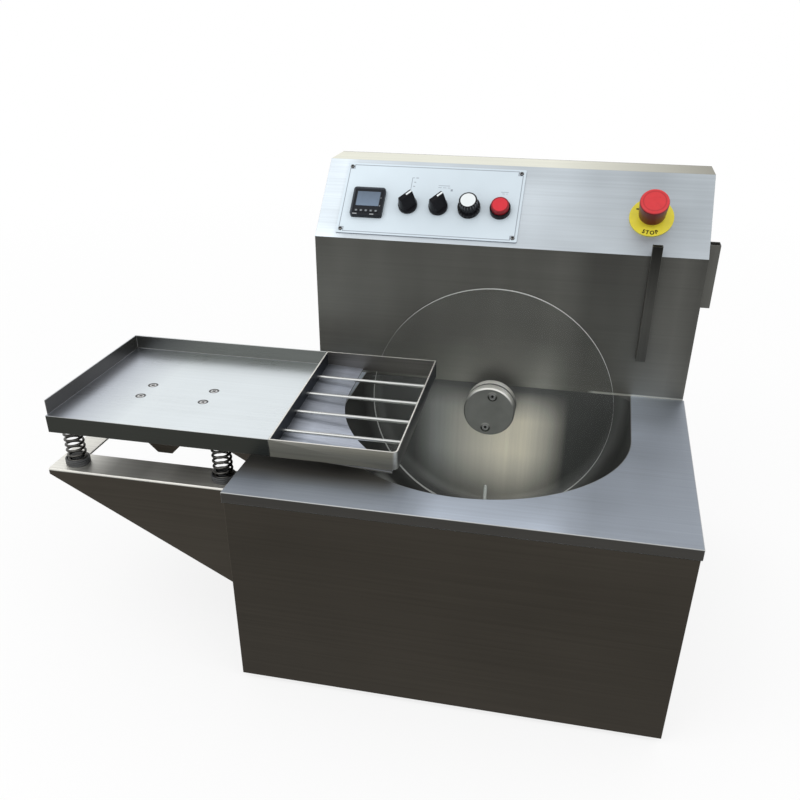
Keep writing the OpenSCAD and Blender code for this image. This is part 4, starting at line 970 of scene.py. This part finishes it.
def coiled(g, entry):
    """Springs on points: a helix whose end turns lie close, swept by round wire."""
    wire, height, turns = entry.pick("wire"), entry.pick("height"), entry.pick("turns")
    close = entry.pick("closed")
    radius = entry.pick("coil") / 2.0
    spiral = g.node("GeometryNodeCurveSpiral", named={
        "Resolution": TURN_POINTS, "Rotations": turns, "Start Radius": radius, "End Radius": radius,
        "Height": height, "Reverse": True})
    along = g.node("GeometryNodeSplineParameter")
    share = close / turns
    rise = close * wire * CLOSED_PITCH
    work = height - rise * 2.0
    slope = rise / share
    bend = 1.0 - share * 2.0
    low = along.least(share) * slope
    mid = (along - share).largest(0.0).least(bend) * (work / bend)
    high = (along - 1.0 + share).largest(0.0) * slope
    place = g.node("ShaderNodeSeparateXYZ", values=(g.node("GeometryNodeInputPosition"),))
    moved = g.node("ShaderNodeCombineXYZ", values=(place, place.pick("Y"), low + mid + high))
    helix = g.node("GeometryNodeSetPosition", named={"Geometry": spiral, "Position": moved})
    section = g.node("GeometryNodeCurvePrimitiveCircle", named={
        "Resolution": WIRE_SIDES, "Radius": wire / 2.0})
    swept = g.node("GeometryNodeCurveToMesh", named={
        "Curve": helix, "Profile Curve": section, "Fill Caps": True})
    return g.node("GeometryNodeInstanceOnPoints", named={"Points": entry, "Instance": swept})


# Millimetres that the pointers stand out of the knobs, go into them and end before their ridge's tip, and the
# depth of the ridge's top
INLAY_RISE, INLAY_SUNK, INLAY_INSET, RIDGE_TOP = 0.2, 0.3, 0.3, 0.05


def slab(name, corners, out, body, slot, material):
    """A thin inlaid shape: a flat outline with a little thickness."""
    bm = bmesh.new()
    low = [bm.verts.new(c - out * INLAY_SUNK * MM) for c in corners]
    high = [bm.verts.new(c + out * INLAY_RISE * MM) for c in corners]
    bm.faces.new(low)
    bm.faces.new(high)
    for k in range(len(corners)):
        bm.faces.new((low[k - 1], low[k], high[k], high[k - 1]))
    return piece_from(name, mesh_of(name, bm), material, None, body, slot)


# Half the letters' thickness, what their outlines are thickened by, their lift off the plate and how far
# their feet stand inside the plate's rim, in millimetres, and their spacing
LETTER_DEPTH, LETTER_WEIGHT, LETTER_LIFT, LETTER_INSET, LETTER_SPACING = 0.1, 0.26, 0.05, 2.4, 1.28


def lettering(name, text, height, bend, material, body, slot):
    """Text made a mesh, each point put in place by bend(x, y, z)."""
    curve = bpy.data.curves.new(name, "FONT")
    curve.body = text
    curve.size = height
    curve.extrude = LETTER_DEPTH * MM
    curve.offset = LETTER_WEIGHT * MM
    curve.align_x = "CENTER"
    curve.space_character = LETTER_SPACING
    words = linked(name + "_words", curve)
    mesh = evaluated(words)
    bpy.data.objects.remove(words)
    bpy.data.curves.remove(curve)
    for vert in mesh.vertices:
        vert.co = bend(*vert.co)
    return piece_from(name, mesh, material, None, body, slot)


class MELTER_OT_cabinet(bpy.types.Operator):
    """Dress the cabinet, the column and the sleeves"""

    bl_idname = "melter.cabinet"
    bl_label = "Cabinet"

    def execute(self, context):
        for node in ("front_panel", "side_panel_left", "side_panel_right", "rear_cover"):
            skin(node, cabinet_steel(node.startswith("side")), 0.4)
        skin("front_sleeve", sleeve_steel("front_sleeve", 0.8, 0.22), 0.4)
        skin("side_sleeve", sleeve_steel("side_sleeve", 1.3, 0.9), 0.4)
        skin("deck_plate", deck_steel(), 1.2, 4)
        skin("column_front", column_steel(), 0.6, 3)
        paint("base_plate", cabinet_steel(False))
        paint("feet", rubber())
        paint("cable_gland", plastic("gland", (0.03, 0.03, 0.032), 0.45, 0.6))
        return {"FINISHED"}


class MELTER_OT_tank(bpy.types.Operator):
    """Dress the tank, what hangs on it and the drive behind it"""

    bl_idname = "melter.tank"
    bl_label = "Tank"

    def execute(self, context):
        skin("tank", tank_steel(), 0)
        skin("temperature_probe", bright_steel(), 0.4)
        paint("heater_mat", plastic("silicone", (0.36, 0.09, 0.03), 0.6, 1.5))
        for node in ("bearing_housing", "gearbox", "gearbox_stand", "drive_motor"):
            paint(node, cast_metal())
        paint("shaft_seal", rubber())
        paint("speed_drive", plastic("board", (0.02, 0.11, 0.05), 0.5, 2.0))
        return {"FINISHED"}


# The share of the wheel's radius at which its rim starts, and how far a face of it may look forward or back
RIM_SHARE, RIM_FACING = 0.9, 0.9


class MELTER_OT_wheel(bpy.types.Operator):
    """Dress the clear wheel and its hub"""

    bl_idname = "melter.wheel"
    bl_label = "Wheel"

    def execute(self, context):
        disc = skin("wheel_disc", clear_plastic(), 0.4)
        disc.data.materials.append(cut_edge())
        rim = RIM_SHARE * (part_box("wheel_disc")[1].x - AXLE.x)
        for face in disc.data.polygons:
            out = (face.center - AXLE) * Vector((1, 0, 1))
            face.material_index = int(out.length > rim and abs(face.normal.y) < RIM_FACING)
        for node in ("hub_cap", "hub_flange"):
            skin(node, turned_steel())
        paint("drive_shaft", turned_steel())
        return {"FINISHED"}


class MELTER_OT_controls(bpy.types.Operator):
    """Dress the control panel"""

    bl_idname = "melter.controls"
    bl_label = "Controls"

    def execute(self, context):
        black = panel_plastic("black")
        skin("faceplate", faceplate_print(), 0.3)
        skin("controller_case", case_print(), 0.9, 3)
        skin("controller_screen", screen_glass(), 0.2)
        for side in ("left", "right"):
            skin(f"selector_knob_{side}", black, 0.8, 3)
            self.pointer(side, context.scene.melter_small)
        skin("speed_knob", knob_print(), 0.3)
        skin("speed_knob_cap", cap_print(), 0.4, 3)
        skin("button_bezel", black, 0.5, 3)
        skin("start_button", button_print(), 0.5, 3)
        for key in range(1, 6):
            skin(f"controller_key_{key}", key_print(f"controller_key_{key}"), 0.3)
        paint("selector_switches", black)
        paint("speed_pot", black)
        return {"FINISHED"}

    def pointer(self, side, small):
        """The white line on a selector's ridge."""
        body = f"selector_{side}"
        foot = hub_of(f"{body}_turn")
        points = islands(f"selector_knob_{side}")[0]
        top = reach(points, foot, OUT)
        ahead = (UPHILL + ACROSS).normalized()
        beside = ahead.cross(OUT)
        ridge = [point for point in points if (point - foot).dot(OUT) > top - RIDGE_TOP * MM]
        tip = reach(ridge, foot, ahead) - INLAY_INSET * MM
        inner = tip - small.pointer_long
        half = small.pointer_wide / 2
        shoulder, nose = tip - half * 0.4, half * 0.5
        outline = ((inner, -half), (inner, half), (shoulder, half), (tip, nose), (tip, -nose),
                   (shoulder, -half))
        corners = [foot + OUT * top + ahead * a + beside * b for a, b in outline]
        slab(f"pointer_{side}", corners, OUT, body, "white_plastic", panel_plastic("cap"))


class MELTER_OT_stop_button(bpy.types.Operator):
    """Dress the emergency stop"""

    bl_idname = "melter.stop_button"
    bl_label = "Stop button"

    def execute(self, context):
        skin("estop_plate", stop_plate_print(), 0.4)
        skin("estop_base", panel_plastic("yellow"), 0.4)
        skin("estop_head", stop_print(), 0.3)
        paint("estop_stem", panel_plastic("black"))
        foot = hub_of("estop_plate")
        points = islands("estop_plate")[0]
        face = reach(points, foot, OUT) + LETTER_LIFT * MM
        round_line = reach(points, foot, ACROSS) - LETTER_INSET * MM

        def bend(x, y, z):
            angle = x / round_line
            away = ACROSS * math.sin(angle) - UPHILL * math.cos(angle)
            return foot + away * (round_line - y) + OUT * (face + z)

        letter = context.scene.melter_small.letter
        lettering("stop_letters", "STOP", letter, bend, panel_plastic("black"), "cabinet", "black_plastic")
        return {"FINISHED"}


class MELTER_OT_table(bpy.types.Operator):
    """Dress the vibrating table and its bracket"""

    bl_idname = "melter.table"
    bl_label = "Vibrating table"

    def execute(self, context):
        skin("tray", tray_steel(), 0.7, 3)
        skin("grate_frame", grate_steel(), 0.4)
        skin("grate_rods", bright_steel(), 0)
        skin("vibrator_guard", cabinet_steel(False), 0.4)
        skin("bracket_frame", bracket_steel(True), 0.8, 3)
        skin("bracket_gussets", bracket_steel(False))
        for node in ("vibrator_motor", "vibrator_end_caps", "vibrator_rotor"):
            paint(node, cast_metal())
        for node in ("lower_spring_seats", "upper_spring_seats"):
            skin(node, ribbed_rubber(), 0)
        return {"FINISHED"}


class MELTER_OT_springs(bpy.types.Operator):
    """Wind the table's four springs"""

    bl_idname = "melter.springs"
    bl_label = "Springs"

    def execute(self, context):
        small = context.scene.melter_small
        low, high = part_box("table_springs")
        feet = []
        for points in islands("table_springs"):
            xs, ys = [p.x for p in points], [p.y for p in points]
            feet.append(((min(xs) + max(xs)) / 2, (min(ys) + max(ys)) / 2, low.z + small.wire / 2))
        tall = high.z - low.z - small.wire
        mesh = grown("table_coils", coiled, feet, spring_steel(), wire=small.wire, coil=small.coil,
                     height=tall, turns=small.turns, closed=small.closed)
        coils = linked("table_coils", mesh)
        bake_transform(coils)
        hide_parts("table_springs")
        return {"FINISHED"}


class MELTER_OT_fasteners(bpy.types.Operator):
    """Drive in the screws that show"""

    bl_idname = "melter.fasteners"
    bl_label = "Fasteners"

    def execute(self, context):
        screws("tray_screws", SUNK_HEAD, CROSS, 0.3, UP, 0.6, 3)
        screws("faceplate_screws", PAN_HEAD, CROSS, 0.3, OUT, 0.2, 5)
        screws("cover_screws", PAN_HEAD, CROSS, 0.3, BACK, 0.4, 7)
        screws("hub_screws", CAP_HEAD, HEXAGON, 0.5, -BACK, 0.3, 2)
        return {"FINISHED"}


# The lamps' names, places, sizes in metres and powers in watts, and the point they aim at
LAMPS = (("key", (-0.9, -1.3, 2.1), 1.4, 9.0), ("fill", (1.5, -0.9, 1.3), 1.2, 4.0))
AIM = Vector((0.1, 0.0, 0.3))
# Light of the sky on the machine, as a share of its brightness in view
SKY = 0.95
# Half of the floor's width in metres, its tint, and the share of its shading that shows
FLOOR_HALF, FLOOR_TINT, FLOOR_SHADING = 80.0, (0.93, 0.93, 0.93), 0.2
# Metres from the middle at which the shading starts to fade and is gone
FADE, GONE = 1.0, 3.0


def pale_stage(name, tint, keep):
    """A pale surface that looks white to the camera and in reflections, and keeps a share of its shading."""
    f = Finish(name)
    path = f.node("ShaderNodeLightPath", out="Is Camera Ray")
    mirror = path.pick("Is Glossy Ray") + path.pick("Is Transmission Ray")
    lit = f.node("ShaderNodeBsdfDiffuse", named={"Color": tint})
    white = f.node("ShaderNodeEmission", named={"Color": (1, 1, 1), "Strength": 1.0})
    far = f.vector("LENGTH", f.place, out="Value")
    share = (path * (1.0 - f.band(far, GONE, FADE) * keep) + mirror).least(1.0)
    mixed = f.node("ShaderNodeMixShader", values=(share, lit, white))
    f.node("ShaderNodeOutputMaterial", named={"Surface": mixed})
    return f.material


class MELTER_OT_stage(bpy.types.Operator):
    """Set the floor, the lights and the camera"""

    bl_idname = "melter.stage"
    bl_label = "Stage"

    def execute(self, context):
        self.floor()
        self.world(context.scene)
        for name, place, size, power in LAMPS:
            self.lamp(name, place, size, power)
        self.camera(context.scene)
        context.scene.view_settings.view_transform = "Standard"
        return {"FINISHED"}

    def floor(self):
        mesh = bpy.data.meshes.new("floor")
        side, ground = FLOOR_HALF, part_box("feet")[0].z
        corners = [(x * side, y * side, ground) for x, y in ((-1, -1), (1, -1), (1, 1), (-1, 1))]
        mesh.from_pydata(corners, [], [(0, 1, 2, 3)])
        mesh.materials.append(pale_stage("pale_floor", FLOOR_TINT, FLOOR_SHADING))
        floor = linked("floor", mesh)

    def world(self, scene):
        world = bpy.data.worlds.new("studio")
        scene.world = world
        world.use_nodes = True
        world.node_tree.nodes.clear()
        g = Graph(world.node_tree)
        path = g.node("ShaderNodeLightPath", out="Is Camera Ray")
        seen = (path + path.pick("Is Glossy Ray") + path.pick("Is Transmission Ray")).least(1.0)
        sky = g.node("ShaderNodeBackground", named={"Color": (1, 1, 1), "Strength": seen * (1 - SKY) + SKY})
        g.node("ShaderNodeOutputWorld", named={"Surface": sky})

    def lamp(self, name, place, size, power):
        light = bpy.data.lights.new(name, "AREA")
        light.size = size
        light.energy = power
        lamp = linked(name, light)
        lamp.location = place
        lamp.rotation_euler = (AIM - Vector(place)).to_track_quat("-Z", "Y").to_euler()

    def camera(self, scene):
        set_up = scene.melter_camera
        lens = bpy.data.cameras.new("camera")
        lens.sensor_width = set_up.sensor
        lens.lens = set_up.focal
        lens.shift_x = set_up.shift_x
        lens.shift_y = set_up.shift_y
        camera = linked("camera", lens)
        stand = CORNER + Vector((set_up.right, -set_up.ahead, set_up.height))
        turn = (
            Matrix.Rotation(set_up.yaw, 4, "Z")
            @ Matrix.Rotation(math.pi / 2 - set_up.pitch, 4, "X")
            @ Matrix.Rotation(set_up.roll, 4, "Z")
        )
        camera.matrix_world = Matrix.Translation(stand) @ turn
        scene.camera = camera


STEPS = (MELTER_OT_stage, MELTER_OT_cabinet, MELTER_OT_tank, MELTER_OT_wheel, MELTER_OT_controls,
         MELTER_OT_stop_button, MELTER_OT_table, MELTER_OT_springs, MELTER_OT_fasteners)


class MELTER_PT_sidebar(bpy.types.Panel):
    """Lists the steps that dress the machine"""

    bl_label = "Chocolate melter"
    bl_space_type = "VIEW_3D"
    bl_region_type = "UI"
    bl_category = "Melter"

    def draw(self, context):
        for step in STEPS:
            self.layout.operator(step.bl_idname)


GROUPS = {"melter_sheet": MelterSheet, "melter_panel": MelterPanel, "melter_small": MelterSmall,
          "melter_camera": MelterCamera}
CLASSES = (*GROUPS.values(), *STEPS, MELTER_PT_sidebar)


def register():
    for cls in CLASSES:
        bpy.utils.register_class(cls)
    for name, group in GROUPS.items():
        setattr(bpy.types.Scene, name, bpy.props.PointerProperty(type=group))


def unregister():
    for name in GROUPS:
        delattr(bpy.types.Scene, name)
    for cls in reversed(CLASSES):
        bpy.utils.unregister_class(cls)


def main():
    register()
    for step in STEPS:
        group, name = step.bl_idname.split(".")
        getattr(getattr(bpy.ops, group), name)()


if __name__ == "__main__":
    main()
